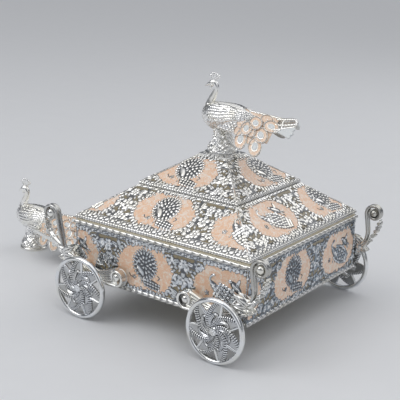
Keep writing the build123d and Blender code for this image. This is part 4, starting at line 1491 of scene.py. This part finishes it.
# ---- Scroll brackets ----
@dataclass
class ScrollBracket:
    """Cast bracket of a fluted web between a low volute and a tall horn, with carved leaves."""

    end: str
    side: str
    horn: float               # middle of the top volute, from the middle of the box
    horn_level: float = 71.5
    horn_radius: float = 6.3
    horn_depth: float = 5.8
    low: Point = (30.5, 36.5)
    low_radius: float = 6.3
    joint: Point = (80.0, 45.0)
    bosses: tuple[Point, Point] = ((46.0, 34.5), (64.0, 38.4))  # where it is riveted to the wall
    back: float = 77.5
    depth: float = 7.6
    ball: float = 3.3         # radius of the beads in the volutes

    def volute(self, centre: Point, radius: float, start: float, turn: float,
               inner: float) -> list[Point]:
        """Points of a spiral that winds in clockwise.

        Args:
            centre: Its middle.
            radius: Its first radius.
            start: Degrees of its first point.
            turn: Degrees that it winds.
            inner: Its last radius.

        Returns:
            The points.
        """
        share = np.linspace(0, 1, 15)
        points = row(*centre) + polar(radius + (inner - radius) * share, start - turn * share)
        return [tuple(point) for point in points]

    def raised(self, points: Iterable[Point], depth: float, steps: int) -> Array:
        """Run a smooth line through points, at a depth outside the bracket's back."""
        return upright(spline(points, steps), self.back + depth)

    def ribbon(self, shell: Shell, points: list[Point], sizes: Sequence[float], edge: float,
               sheet: float, depth: float, steps: int = 110, dark: float = 0.0) -> None:
        """Add a channel with two rounded edges.

        Args:
            shell: Surfaces of the bracket.
            points: Its middle line.
            sizes: Size of its section along it.
            edge: Thickness of its edges.
            sheet: Thickness between them.
            depth: Its whole depth.
            steps: Number of sections.
            dark: Least darkening on it, from 0 to 1, given as painted shade.
        """
        y = np.sin(np.linspace(-math.pi / 2, math.pi / 2, 21)) * depth / 2
        bulb = edge / 2 * rounded((np.abs(y) - (depth - edge) / 2) / (edge / 2))
        thick = np.maximum(bulb, np.where(np.abs(y) < (depth - edge) / 2, sheet / 2, 0.0))
        half = np.stack([thick, y], -1)
        section = np.concatenate([half, half[::-1] * row(-1, 1)])
        deep = clamp(1 - thick / (0.42 * edge)) * (np.abs(y) < (depth - edge) / 2)
        path = self.raised(points, self.depth / 2, steps)
        grid = swept(path, section, OUTWARD, spread(sizes, steps))
        shell.tube(grid, relief_of(grid, np.maximum(np.concatenate([deep, deep[::-1]]), dark)))

    def add_horn(self, shell: Shell) -> None:
        """Add the horn, its volute and the leafy stem beside it.

        Args:
            shell: Surfaces of the bracket.
        """
        x, z = self.joint
        curl = self.volute((self.horn, self.horn_level), self.horn_radius, 180, 400,
                           self.ball + 0.2)
        stem = [(x - 1.0, z - 3.0), (x + 2.6, z + 3.0), (x + 4.2, z + 9.5),
                ((x + 4.5 + curl[0][0]) / 2, z + 18.0)]
        # the horn is darkened all over with painted shade
        self.ribbon(shell, stem + curl, (0.8, 1.0, 1.0, 0.95, 0.8), 2.3, 1.1, self.horn_depth,
                    dark=0.5)
        steps = 40
        path = self.raised([(x + 3.0, z + 2.0), (self.horn + 1.3, z + 11.0),
                            (self.horn + 4.7, z + 17.5),
                            (self.horn + 5.3, self.horn_level - 4.5)], 3.9, steps)
        shell.tube(swept(path, ring_section(1.0, 4.8, 14), OUTWARD))
        tips = ((0.15, 3.4, -28), (0.32, 3.8, 12), (0.5, 3.2, 28), (0.66, 2.8, 42),
                (0.84, 2.6, 58))
        for share, size, turn in tips:
            x, z = polar(size, turn)
            for depth, lean in ((-3.4, 0.0), (0.0, 0.5), (3.0, 0.0)):
                root = path[int(share * (steps - 1))] + row(-0.8, -depth * 0.7, -0.6)
                shell.leaf(root, root + row(x, -lean, z), (0.4, -1, 0.2), 3.4, 1.2, 0.5, 12)

    def add_leaves(self, shell: Shell) -> None:
        """Add the acanthus at the joint of horn and web.

        Args:
            shell: Surfaces of the bracket.
        """
        x, z = self.joint
        front = self.back + self.depth
        shell.ball((x - 2.5, -(self.back + 3.6), z - 2.6), (6.0, 3.6, 4.8), steps=12, deep=0.3)
        blades = (((2.0, -1.0), (-9.5, 5.5), 6.6, 0.6), ((1.5, -3.0), (-11.0, -1.5), 7.0, 1.0),
                  ((1.0, -4.5), (-8.5, -8.5), 6.4, 0.5), ((-3.0, -3.0), (6.0, 3.6), 6.0, 0.3),
                  ((-3.0, -4.0), (5.6, -4.4), 5.4, 0.0))
        for (rx, rz), (tx, tz), width, rise in blades:
            for out, way, thick in ((front - 2.2 + 0.5 * rise, -1, 2.2), (self.back + 1.8, 1, 1.2)):
                root, tip = row(x + rx, -out, z + rz), row(x + tx, 0.3 * way - out, z + tz)
                shell.leaf(root, tip, (0, way, 0), width, thick, 0.4, 26)

    def add_web(self, shell: Shell) -> None:
        """Add the fluted web and the band under it, which curls into the low volute.

        Args:
            shell: Surfaces of the bracket.
        """
        x, z = self.joint
        cx, cz = self.low
        steps = 90
        line = spline([(x - 3.0, z - 3.5), (x - 18.0, z - 8.6), (cx + 17.5, cz - 3.4),
                       (cx + 1.0, cz)], steps)
        along = unit(np.gradient(line, axis=0))
        off = np.stack([-along[:, 1], along[:, 0]], -1)
        half = spread((3.8, 2.8, 2.9, 4.6, 6.2), steps)
        v = np.linspace(-1, 1, 41)
        share = np.linspace(0, 1, steps)[:, None]
        flute = np.abs(np.cos(np.pi * 2.5 * v))[None] ** 0.8
        high = 2.6 + 2.4 * rounded(v * 0.96)[None] * (0.65 + 0.5 * share) - 0.5 * (1 - flute)
        high = high * (0.9 + 0.1 * np.cos(2 * np.pi * share))
        flat = line[:, None] + off[:, None] * (v[None, :, None] * half[:, None, None])
        front, under = upright(flat, self.back + high), upright(flat, self.back + 0.1)
        shell.slab(front, under, relief_of(front, 0.12 * (1 - flute) ** 1.5))

        sole = [(x - 5.0, z - 7.0), (x - 18.0, z - 10.8), (cx + 17.5, cz - 5.9)]
        sole += self.volute(self.low, self.low_radius, -75, 330, self.ball + 0.4)
        self.ribbon(shell, sole, (0.8, 0.95, 1.0, 1.0, 0.8), 2.1, 1.2, self.depth)

    def build(self, bench: Bench) -> None:
        """Make the bracket.

        Args:
            bench: Bench that takes it.
        """
        shell = Shell()
        self.add_horn(shell)
        self.add_leaves(shell)
        self.add_web(shell)
        for x, z in ((self.horn, self.horn_level), self.low):
            shell.ball((x, -(self.back + self.depth - self.ball), z), (self.ball,) * 3, steps=18)
            radii = (self.ball - 0.4, 2.6, self.ball - 0.4)
            shell.ball((x, -(self.back + 2.6), z), radii, steps=10, deep=0.4)
        for boss in self.bosses:
            ring = ring_section(6.4, 6.4, 20) + row(*boss)
            shell.tube(np.stack([upright(ring, 75.5), upright(ring, self.back + 1.8)]))
        shell.flip(-1 if self.end == "front" else 1, 1 if self.side == "left" else -1)
        node = f"scroll_bracket_{self.end}_{self.side}"
        bench.deliver(f"leafy_{node}", shell, "chassis", Finish.CASTING, [node])


# ---- Peacocks ----
ACROSS = (0, 1, 0)


def beaded(beads: int, steps: int) -> Array:
    """Sizes of a bar's section that swell into a number of beads."""
    return 0.8 + 0.25 * np.abs(np.sin(np.linspace(0, math.pi * beads, steps)))


@dataclass
class Plume:
    """One enamelled feather end: a beaded silver rim, a peach ring and a pearl eye."""

    at: Point                 # middle, along the sheet and down it
    long: float               # half length
    wide: float               # half width
    turn: float               # degrees from the sheet's length to the feather's
    rise: float = 0.0         # how far its face lies above the sheet
    eye: float = 0.41         # radius of the eye as a share of the feather

    def surface(self) -> tuple[Array, Array]:
        """Work out its surface.

        Returns:
            Rings of points about the sheet's plane, and their relief colours.
        """
        around = np.linspace(0, 2 * math.pi, 72, endpoint=False)
        beads = max(9, round((self.long + self.wide) * 1.9))
        pearl = np.abs(np.sin(around * beads / 2))
        reach = row(0.03, 0.16, 0.27, 0.34, 0.38, 0.41, 0.44, 0.47, 0.51, 0.60, 0.70, 0.80, 0.84,
                    0.87, 0.90, 0.95, 1.0, 0.97, 0.5, 0.03)[:, None]
        top = len(reach) - 3  # the rings after it close the back
        rim = rounded((reach - 0.94) / 0.08)
        high = 0.55 + rounded(reach / self.eye) * 0.75
        high = high + rounded((reach - self.eye - 0.04) / 0.05) * 0.4 + rim * (0.35 + 0.45 * pearl)
        high[top:] = -0.35
        scallop = 1 - 0.035 * (1 - pearl) * clamp((reach - 0.7) * 4)
        x = reach * np.cos(around) * self.long * scallop
        y = reach * np.sin(around) * self.wide * scallop
        cos, sin = math.cos(math.radians(self.turn)), math.sin(math.radians(self.turn))
        points = np.stack([x * cos - y * sin + self.at[0], x * sin + y * cos + self.at[1],
                           high + self.rise], -1)
        groove = 0.8 * clamp(1 - np.abs(reach - 0.87) / 0.04)
        relief = relief_of(points, groove + 0.5 * rim * (1 - pearl))
        relief[:top, :, FIRST] = ((reach > self.eye + 0.06) & (reach < 0.86))[:top]
        relief[:top, :, SECOND] = (reach < self.eye)[:top]
        relief[top:, :, DEEP] = 0.25
        return points, relief


@dataclass
class Peacock:
    """Silver peacock with engraved feathers and an enamelled train, on a flared foot."""

    name: str
    body: str
    along: float              # middle of the foot, from the middle of the box
    base: float               # height of the foot's base
    lift: float               # degrees that the train is lifted
    foot_node: str
    # place along, height of the middle, half height and half width of the body's sections
    sections: tuple[tuple[float, float, float, float], ...] = (
        (-17.9, 26.6, 0.4, 0.4), (-17.4, 26.6, 3.1, 2.9), (-15.0, 26.2, 6.6, 6.0),
        (-8.5, 25.6, 9.9, 9.2), (0.0, 25.7, 10.6, 10.6), (10.0, 26.2, 9.8, 10.2),
        (20.0, 26.0, 7.4, 8.2), (28.0, 26.2, 4.7, 5.5), (33.5, 26.6, 2.2, 2.8))
    neck: tuple[Spot, ...] = (
        (-11.6, 0, 29.0), (-12.2, 0, 33.2), (-11.3, 0, 36.5), (-9.6, 0, 40.0), (-7.9, 0, 43.5),
        (-7.3, 0, 46.4), (-8.8, 0, 49.0), (-10.8, 0, 49.6))
    neck_sizes: tuple[float, ...] = (5.6, 3.9, 3.0, 2.6, 2.2, 1.95, 2.0, 2.1)
    head: Spot = (-11.0, 48.8, 2.65)  # place along, height and radius
    beak: Point = (-17.9, 45.7)       # its tip
    crest_root: Point = (-9.6, 50.6)
    crest_reach: float = 6.4
    ridge: tuple[Point, Point] = ((20.0, 32.0), (47.5, 30.0))
    train_depth: float = 20.0  # from the ridge down the slope
    slope: float = 50.0        # degrees that the sides and the fan fall away
    fan_slope: float = 46.0
    fan_tilt: float = 12.0
    far_share: float = 0.7     # how far the right half hangs, against the left
    plumes: tuple[Plume, ...] = (
        Plume((0.5, 3.5), 5.5, 4.4, 55, 0.6, 0.01), Plume((19.0, 2.6), 5.6, 3.4, 14, 0.1, 0.01),
        Plume((20.2, 25.2), 8.2, 5.3, 64, 0.5), Plume((6.9, 22.6), 8.3, 5.0, 70, 0.6),
        Plume((14.2, 20.6), 4.6, 3.8, 60, 0.2, 0.01), Plume((20.4, 15.8), 7.2, 5.0, 42, 0.9),
        Plume((25.0, 7.4), 6.6, 4.5, 14, 0.8), Plume((2.2, 16.4), 5.0, 3.8, 84, 0.8, 0.01),
        Plume((12.6, 15.2), 4.4, 3.6, 52, 1.2, 0.01), Plume((7.6, 13.8), 5.8, 4.7, 62, 1.5),
        Plume((12.6, 8.2), 6.0, 4.8, 38, 1.7), Plume((1.6, 10.4), 4.6, 3.8, 70, 1.4, 0.01))
    rugged: float = 1.0        # depth of the foot's rock work
    # root, tip and width of the feathers that end each wing
    wing_tips: tuple[tuple[Spot, Spot, float], ...] = (
        ((1.0, 8.8, 20.4), (20.5, 8.2, 18.6), 5.6), ((5.0, 9.3, 23.4), (25.0, 7.6, 22.4), 5.0))
    fan_plumes: tuple[Plume, ...] = ()
    # each bar's three points and the number of its beads
    fan_bars: tuple[tuple[Point, Point, Point, int], ...] = (
        ((-2, 0.3), (6, 0.2), (13.6, 0.1), 8), ((-2, 4.6), (5, 5.2), (15.2, 4.2), 8),
        ((-1.5, 9.4), (5, 8.2), (15.3, 6.4), 8), ((13.4, 0.1), (15.0, 2.6), (15.4, 5.6), 4),
        ((5.0, 0.3), (4.0, 3.4), (4.8, 7.8), 4), ((-0.5, 11.0), (2, 10.9), (4.8, 8.2), 3))
    fan_plate: tuple[Point, ...] = (
        (0.2, 10.8), (4.6, 8.4), (15.2, 6.6), (15.7, 8.6), (14.4, 10.2), (15.4, 11.6),
        (15.2, 13.0), (13.6, 13.6), (14.0, 15.2), (12.6, 16.2), (9.0, 14.0), (4.5, 12.0))

    def feathered(self, along: Array, turn: Array) -> tuple[Array, Array]:
        """Engrave the body.

        Args:
            along: Distance from breast to tail.
            turn: Degrees down from the back.

        Returns:
            Height of the engraving and how deep a spot lies.
        """
        arc = np.radians(turn) * 10.0
        plain = fish_scales(-along + 0.25 * arc, arc, 2.3, 2.9) * 0.55
        back = waves(along / 2.4 + np.abs(arc) / 3.0) * 0.5
        plain = np.where(turn < 24, back, plain)
        low = 106 - 1.5 * np.clip(along - 2, 0, 30)
        share = (turn - 26) / (low - 26)  # from the wing's upper edge to its lower one
        shoulder = (along + 10.5 - 5 * (2 * share - 1) ** 2) / 1.2
        inside = np.minimum(np.minimum(share * 9, (1 - share) * 9), shoulder)
        inside = clamp(inside) * (along < 29)
        band = share * 3
        part = band - np.floor(band)
        quills = np.abs(np.sin(np.pi * part * 2.0))
        beads = 0.66 + 0.34 * np.abs(np.sin(np.pi * (along + 1.1 * np.floor(band * 2)) / 1.7))
        long = (along + 3.4 * part) / 8.4
        ends = clamp(np.abs(long - np.round(long)) * 12)
        wing = 0.45 + 0.85 * quills ** 0.6 * beads * (0.6 + 0.4 * ends)
        edge = clamp(1 - np.abs(share - 1) * 14) * 0.5
        high = plain + (wing - plain) * inside + edge * (along > -9) * (along < 27)
        seam = np.where(inside > 0.5, 1.05 - quills ** 0.4 * (0.6 + 0.4 * ends), 0.9 - plain / 0.55)
        return high, clamp(seam) * 0.9

    def add_body(self, shell: Shell) -> None:
        """Add the engraved body.

        Args:
            shell: Surfaces of the bird.
        """
        turn = np.linspace(0, 360, 128, endpoint=False)[None]
        along, middle, tall, wide = spline(self.sections, 150).T[..., None]
        tall, wide = np.maximum(tall, 0.3), np.maximum(wide, 0.3)
        along = np.repeat(along, turn.size, 1)
        high, deep = self.feathered(along, np.minimum(turn, 360 - turn))
        high = high * clamp(np.minimum(tall, wide) / 4.5) - 0.35
        ring = np.radians(turn)
        grid = np.stack([along, (wide + high) * np.sin(ring),
                         middle + (tall + high) * np.cos(ring)], -1)
        shell.tube(grid, relief_of(grid, deep))
        for hand in (-1, 1):
            for root, tip, width in self.wing_tips:
                shell.leaf(row(*root) * row(1, hand, 1), row(*tip) * row(1, hand, 1),
                           (0.1, hand, -0.3), width, 1.5, 0.2, 40, 7, 0.05)

    def add_neck(self, shell: Shell) -> None:
        """Add the polished neck, the head, the beak and the crest's feathers.

        Args:
            shell: Surfaces of the bird.
        """
        steps, corners = 80, 36
        around = np.linspace(0, 2 * math.pi, corners, endpoint=False)
        size = spread(self.neck_sizes, steps)[:, None]
        length = np.linspace(0, 24, steps)[:, None]
        scales = fish_scales(length, around * 4.0, 2.1, 2 * math.pi * 4.0 / 12)
        fade = clamp(1 - length / 7.0)
        section = ring_section(2.0, 2.0, corners) * (size + 0.35 * (scales * fade))[..., None]
        grid = swept(spline(self.neck, steps), section, ACROSS)
        shell.tube(grid, relief_of(grid, 0.8 * clamp(1 - scales) * fade))
        x, z, radius = self.head
        shell.ball((x, 0, z), (radius * 1.05, radius * 0.92, radius), steps=18)
        tip_x, tip_z = self.beak
        line = spline([(x - 1.2, 0, z - 0.2), (x - 3.6, 0, z - 0.9),
                       ((x - 2.6 + tip_x) / 2, 0, z - 1.6), (tip_x, 0, tip_z)], 24)
        size = spread((1.0, 0.85, 0.55, 0.12), 24)
        shell.tube(swept(line, ring_section(2.6, 2.3, 18), ACROSS, size))
        shell.ball((x - 1.6, 0, z - 3.4), (1.1, 0.7, 1.7), steps=9, deep=0.1)
        for side in (-1, 1):
            shell.ball((x - 0.9, side * 2.15, z + 0.5), (0.75, 0.5, 0.75), steps=9, deep=0.9)
            shell.ball((x + 0.3, side * 2.1, z - 0.9), (1.2, 0.4, 0.7), steps=8, deep=0.1)

    def add_crest(self, shell: Shell) -> None:
        """Add the crest of bead-tipped paddles.

        Args:
            shell: Surfaces of the crest.
        """
        x, z = self.crest_root
        root = row(x - 0.2, 0, z - 1.0)
        turns = np.linspace(40, 128, 24)
        ribs = 0.35 + 0.3 * np.abs(np.cos(np.radians(turns - 40) * 5.1))
        shares = row(0.2, 0.5, 0.78)[:, None]
        front = upright(row(x, z) + polar(self.crest_reach * shares, turns), -ribs)
        shell.slab(front, front * row(1, -1, 1), relief_of(front, 1.6 * (0.65 - ribs)))
        paddles = ((40, 1.0), (58, 1.0), (76, 0.96), (94, 1.0), (112, 0.98), (128, 0.9))
        for number, (turn, share) in enumerate(paddles):
            cos, sin = polar(1.0, turn)
            way = row(cos, 0, sin)
            end = row(x, 0, z) + way * (self.crest_reach * share)
            side = row(0, 0.5 * (-1) ** number, 0)
            path = spline([root, root + (end - root) * 0.55 + side, end - way * 1.6], 16)
            size = spread((1.2, 0.9, 1.3), 16)
            shell.tube(swept(path, ring_section(1.1, 1.1, 10), ACROSS, size))
            middle = end - way * 1.3 + side * 0.4
            axes = np.stack([way, row(*ACROSS), row(-sin, 0, cos)])
            shell.ball(middle, (1.5, 0.8, 1.15), axes, steps=9)
            for hand in (-1, 1):
                shell.ball(middle + row(0, hand * 0.5, 0), (0.5, 0.45, 0.5), axes, steps=6)
        shell.ball(root + row(0.1, 0, 0.4), (1.2, 0.9, 1.2), steps=9)

    def place(self, flat: Array, hand: int, fan: bool) -> Array:
        """Bring points of one side of the train from its flat drawing to its place.

        Args:
            flat: Distance along the ridge, down the slope, and outwards from the sheet.
            hand: -1 for the left side, 1 for the right.
            fan: Whether they belong to the fan at the end.

        Returns:
            The points about the middle of the foot.
        """
        (x0, z0), (x1, z1) = self.ridge
        fall = math.atan2(z0 - z1, x1 - x0) - math.radians(self.lift)
        slope = math.radians(self.fan_slope if fan else self.slope)
        along, down, out = flat[..., 0], flat[..., 1], flat[..., 2]
        if hand > 0:
            along, down = along * (0.8 if fan else 1.0), down * self.far_share
        side = down * math.cos(slope) + out * math.sin(slope)
        level = out * math.cos(slope) - down * math.sin(slope)
        if fan:
            cos, sin = math.cos(math.radians(self.fan_tilt)), math.sin(math.radians(self.fan_tilt))
            along, level = along * cos - level * sin, along * sin + level * cos
            along = along + x1 - x0
        x = x0 + along * math.cos(fall) + level * math.sin(fall)
        z = z0 - along * math.sin(fall) + level * math.cos(fall)
        return np.stack([x, hand * side, z], -1)

    def lay_plumes(self, shell: Shell, plumes: Iterable[Plume], hand: int, fan: bool,
                   above: float) -> None:
        """Lay plumes over one side of the train.

        Args:
            shell: Surfaces of the train.
            plumes: The plumes.
            hand: -1 for the left side, 1 for the right.
            fan: Whether they belong to the fan at the end.
            above: Distance that they lie above the sheet.
        """
        for plume in plumes:
            points, relief = plume.surface()
            points[..., 2] += above
            shell.tube(self.place(points, hand, fan), relief)

    def add_train(self, shell: Shell) -> None:
        """Add the train's two sides, its ridge and the open fan at its end.

        Args:
            shell: Surfaces of the train.
        """
        length = self.ridge[1][0] - self.ridge[0][0]
        u, v = np.meshgrid(np.linspace(0, 1, 60), np.linspace(0, 1, 50), indexing="ij")
        down = self.train_depth * v
        along = u * (length - 0.3) + (1 - u) * 2.0 * v
        barbs = waves(along * 0.3 + down * 0.45)
        flat = np.stack([along, down, 1.0 + 0.35 * barbs], -1)
        relief = relief_of(flat, 0.8 * (1 - barbs), (0.9, 0.0))
        for hand in (-1, 1):
            front, back = (self.place(side, hand, False) for side in (flat, flat * row(1, 1, 0)))
            shell.slab(front, back, relief)
            self.lay_plumes(shell, self.plumes, hand, False, 0.6)
            self.add_fan(shell, hand)
        steps = 70
        spine = np.stack([np.linspace(-1.5, length + 1.0, steps), np.zeros(steps),
                          np.full(steps, 0.9)], -1)
        path = self.place(spine, 1, False)
        shell.tube(swept(path, ring_section(2.6, 2.4, 14), ACROSS, beaded(12, steps)))

    def add_fan(self, shell: Shell, hand: int) -> None:
        """Add one half of the fan at the end of the train: an open frame over a pearl plate.

        Args:
            shell: Surfaces of the train.
            hand: -1 for the left side, 1 for the right.
        """
        steps = 30
        for *points, beads in self.fan_bars:
            path = self.place(level_at(spline(points, steps), 0.9), hand, True)
            shell.tube(swept(path, ring_section(1.9, 1.7, 12), (0.1, hand * 0.6, 1),
                             beaded(beads, steps)))
        edge = np.array(self.fan_plate)
        grid = self.place(np.stack([level_at(edge, 1.3), level_at(edge, 0.1)]), hand, True)
        enamel = (1.0, 0.0) if self.fan_plumes else (0.0, 1.0)
        shell.tube(grid, relief_of(grid, 0.0, enamel))
        self.lay_plumes(shell, self.fan_plumes, hand, True, 0.9)

    def add_foot(self, shell: Shell) -> None:
        """Add the rugged foot, cast like a rock with leaves.

        Args:
            shell: Surfaces of the foot.
        """
        outline, level = spline([(11.0, 0.0), (11.6, 1.4), (11.1, 3.6), (9.9, 6.0), (8.4, 8.4),
                                 (7.7, 12.0), (7.8, 16.0), (8.2, 19.2)], 80).T[..., None]
        turn = np.radians(np.linspace(0, 360, 140, endpoint=False))[None]
        rock = np.abs(np.sin(3 * turn + 0.5 * level + 1.4 * np.sin(2 * turn + 0.9)))
        rock = rock ** 0.7 * np.abs(np.sin(0.52 * level + 1.6 * np.sin(4 * turn) + 0.8)) ** 0.5
        chips = np.sin(9 * turn - 0.9 * level + 1.2 * np.sin(5 * turn))
        chips = np.abs(chips * np.sin(1.3 * level + 3 * np.sin(3 * turn)))
        cut = clamp(1.1 - rock - 0.35 * chips) * self.rugged
        depth = 1.9 * cut + 0.35 * self.rugged * (1 - chips)
        radius = outline - depth * np.clip(level / 1.4, 0.1, 1)
        grid = np.stack([radius * np.cos(turn), radius * np.sin(turn),
                         np.broadcast_to(level, radius.shape)], -1)
        deep = clamp(0.38 * cut + 0.2 * self.rugged * (1 - chips) ** 4)
        shell.tube(grid, relief_of(grid, deep))

    def build(self, bench: Bench) -> None:
        """Make the bird.

        Args:
            bench: Bench that takes it.
        """
        jobs = ((f"{self.name}_body", (self.add_body, self.add_neck), Finish.BIRD),
                (f"{self.name}_crest", (self.add_crest,), Finish.BIRD),
                (f"{self.name}_train", (self.add_train,), Finish.TRAIN),
                (self.foot_node, (self.add_foot,), Finish.BIRD))
        for node, steps, finish in jobs:
            shell = Shell()
            for step in steps:
                step(shell)
            shell.shift((self.along, 0, self.base))
            bench.deliver(f"feathered_{node}", shell, self.body, finish, [node])


# ---- The whole box ----
@dataclass
class Coffer:
    """Walls, lid and the mouldings between them."""

    wall_half: float = 75.5
    wall_low: float = 25.7
    wall_high: float = 66.1
    lid_half: float = 75.2
    lid_low: float = 72.9
    ridge_half: float = 42.8
    ridge_low: float = 95.3
    ridge_high: float = 97.5
    peak_half: float = 12.5
    peak: float = 117.5

    def panels(self) -> Iterable[StampedPanel]:
        """Name each stamped panel.

        Returns:
            The panels in order.
        """
        dancing, trailing = Motif.DANCING, Motif.TRAILING
        for quarter, side in enumerate(("left", "rear", "right", "front")):
            flank = quarter % 2 == 0
            yield StampedPanel(
                f"wall_panel_{side}", "chassis", quarter, self.wall_half, self.wall_low,
                self.wall_half, self.wall_high, -11.0 if flank else -17.0, dancing,
                4.2, 3.2, 16.0, finish=Finish.WALL if flank else Finish.END_WALL)
            yield StampedPanel(
                f"lid_lower_panel_{side}", "lid", quarter, self.lid_half, self.lid_low,
                self.ridge_half, self.ridge_low, -8.0 if flank else -19.5,
                dancing if flank else trailing, 4.6, 2.2, 15.4)
            yield StampedPanel(
                f"lid_upper_panel_{side}", "lid", quarter, self.ridge_half, self.ridge_high,
                self.peak_half, self.peak, (-11.0, 12.5, 0.0, 0.0)[quarter], dancing,
                2.6, 1.6, 15.2)

    def mouldings(self) -> Iterable[Moulding]:
        """Name each moulding.

        Returns:
            The mouldings in order.
        """
        leaves, rope = Twist.LEAVES, Twist.ROPE
        yield Moulding("foot_moulding", "chassis", 71.9, 76.7, 25.2, 28.6, leaves, 5.6, 0.75)
        yield Moulding("top_rim", "chassis", 72.0, 77.1, self.wall_high, 69.0, leaves, 6.4, 0.55)
        yield Moulding("lid_rim", "lid", 70.9, 76.0, 70.1, self.lid_low, leaves, 2.4, 0.22)
        yield Moulding("ridge_moulding", "lid", 40.8, 43.4, self.ridge_low, self.ridge_high,
                       rope, 2.3, 0.5)

    def build(self, bench: Bench) -> None:
        """Make all of it on the bench."""
        for piece in (*self.panels(), *self.mouldings()):
            piece.build(bench)


@dataclass
class CapPlate:
    """Square plate on the peak of the lid, with a round collar and leaves run down from it."""

    half: float = 12.5
    low: float = 117.5
    sheet: float = 1.2
    radius: float = 12.3      # of the collar
    collar: float = 1.4       # its height
    leaves: int = 22
    leaf_reach: float = 15.2  # from the middle to the longer leaves' tips
    leaf_low: float = 116.6   # height of the tips

    def build(self, bench: Bench) -> None:
        """Make the plate.

        Args:
            bench: Bench that takes it.
        """
        shell = Shell()
        top = self.low + self.sheet
        square = np.array([(-1, -1), (1, -1), (1, 1), (-1, 1)]) * self.half
        shell.tube(np.stack([level_at(square, self.low), level_at(square, top)]))
        turn = np.linspace(0, 360, 72, endpoint=False)
        rings = ((self.radius, top - 0.1), (self.radius, top + self.collar - 0.4),
                 (self.radius - 0.5, top + self.collar))
        grid = np.stack([level_at(polar(radius, turn), level) for radius, level in rings])
        shell.tube(grid, relief_of(grid, 0.5))
        for number in range(self.leaves):
            way = polar(1.0, 360 * (number + 0.5) / self.leaves)
            reach = self.leaf_reach * (1.0 if number % 2 else 0.93)
            root = row(*way * (self.radius - 1.4), top + self.collar - 0.5)
            tip = row(*way * reach, self.leaf_low)
            shell.leaf(root, tip, (*way, 1.2), 3.7, 1.1, 0.2, 12, notch=0.12)
        bench.deliver("leafy_lid_cap", shell, "lid", Finish.MOULDING, ["lid_cap"])


def dress_plain(bench: Bench) -> None:
    """Give the nodes that keep their own mesh their finishes.

    Args:
        bench: Bench that dresses them.
    """
    finishes = {Finish.SHEET: ("base_plate", "corner_angles", "axle_saddles"),
                Finish.LINING: ("inner_tray",),
                Finish.MOULDING: ("lid_collar", "draw_bird_foot"),
                Finish.CASTING: ("draw_arm_left", "draw_arm_right"),
                Finish.STEEL: ("draw_bird_stud", "knob_stud", "knob_nut")}
    for finish, nodes in finishes.items():
        for node in nodes:
            bench.dress(node, finish)


def main() -> None:
    """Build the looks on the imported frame."""
    logging.basicConfig(level=logging.INFO, format="%(name)s: %(message)s")
    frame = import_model()
    low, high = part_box("base_plate")
    bench = Bench(frame["nodes"], (low[0] + high[0]) / 2 / MM)
    Studio(bench.middle).build()
    Coffer().build(bench)
    for end, along, phase in (("front", -59.9, -18.0), ("rear", 59.9, 25.0)):
        for side in ("left", "right"):
            Wheel(end, side, along, phase).build(bench)
            ScrollBracket(end, side, 94.5 if end == "front" else 88.5).build(bench)
    AxleEnds().build(bench)
    CapPlate().build(bench)
    trailing = (
        Plume((29.0, 21.5), 6.6, 4.6, 62, 0.5), Plume((36.6, 24.0), 8.0, 5.0, 58, 0.6),
        Plume((32.0, 14.6), 6.8, 4.8, 46, 0.9), Plume((39.5, 14.0), 6.4, 4.4, 30, 0.5),
        Plume((33.5, 7.2), 6.2, 4.3, 18, 0.8), Plume((40.8, 5.6), 5.4, 3.8, 10, 0.4),
        Plume((24.6, 16.0), 4.6, 3.8, 60, 0.2, 0.01), Plume((36.0, 2.2), 5.0, 3.0, 6, 0.2, 0.01))
    at_fan = (
        Plume((2.2, 3.0), 4.8, 3.4, 20, 0.4), Plume((10.0, 3.2), 5.4, 3.2, 8, 0.5),
        Plume((4.6, 8.8), 5.0, 3.6, 50, 0.6), Plume((11.6, 9.6), 5.0, 3.5, 30, 0.7))
    Peacock("draw_bird", "chassis", -195.0, 2.5, 8.0, "draw_bird_pedestal",
            plumes=Peacock.plumes + trailing, rugged=0.4, crest_reach=7.9,
            neck_sizes=(5.5, 4.3, 3.5, 3.1, 2.65, 2.3, 2.3, 2.4), head=(-11.0, 48.8, 3.0),
            fan_plumes=at_fan).build(bench)
    Peacock("knob_bird", "lid", 0.0, 120.1, 0.0, "knob_pedestal").build(bench)
    dress_plain(bench)


if __name__ == "__main__":
    main()
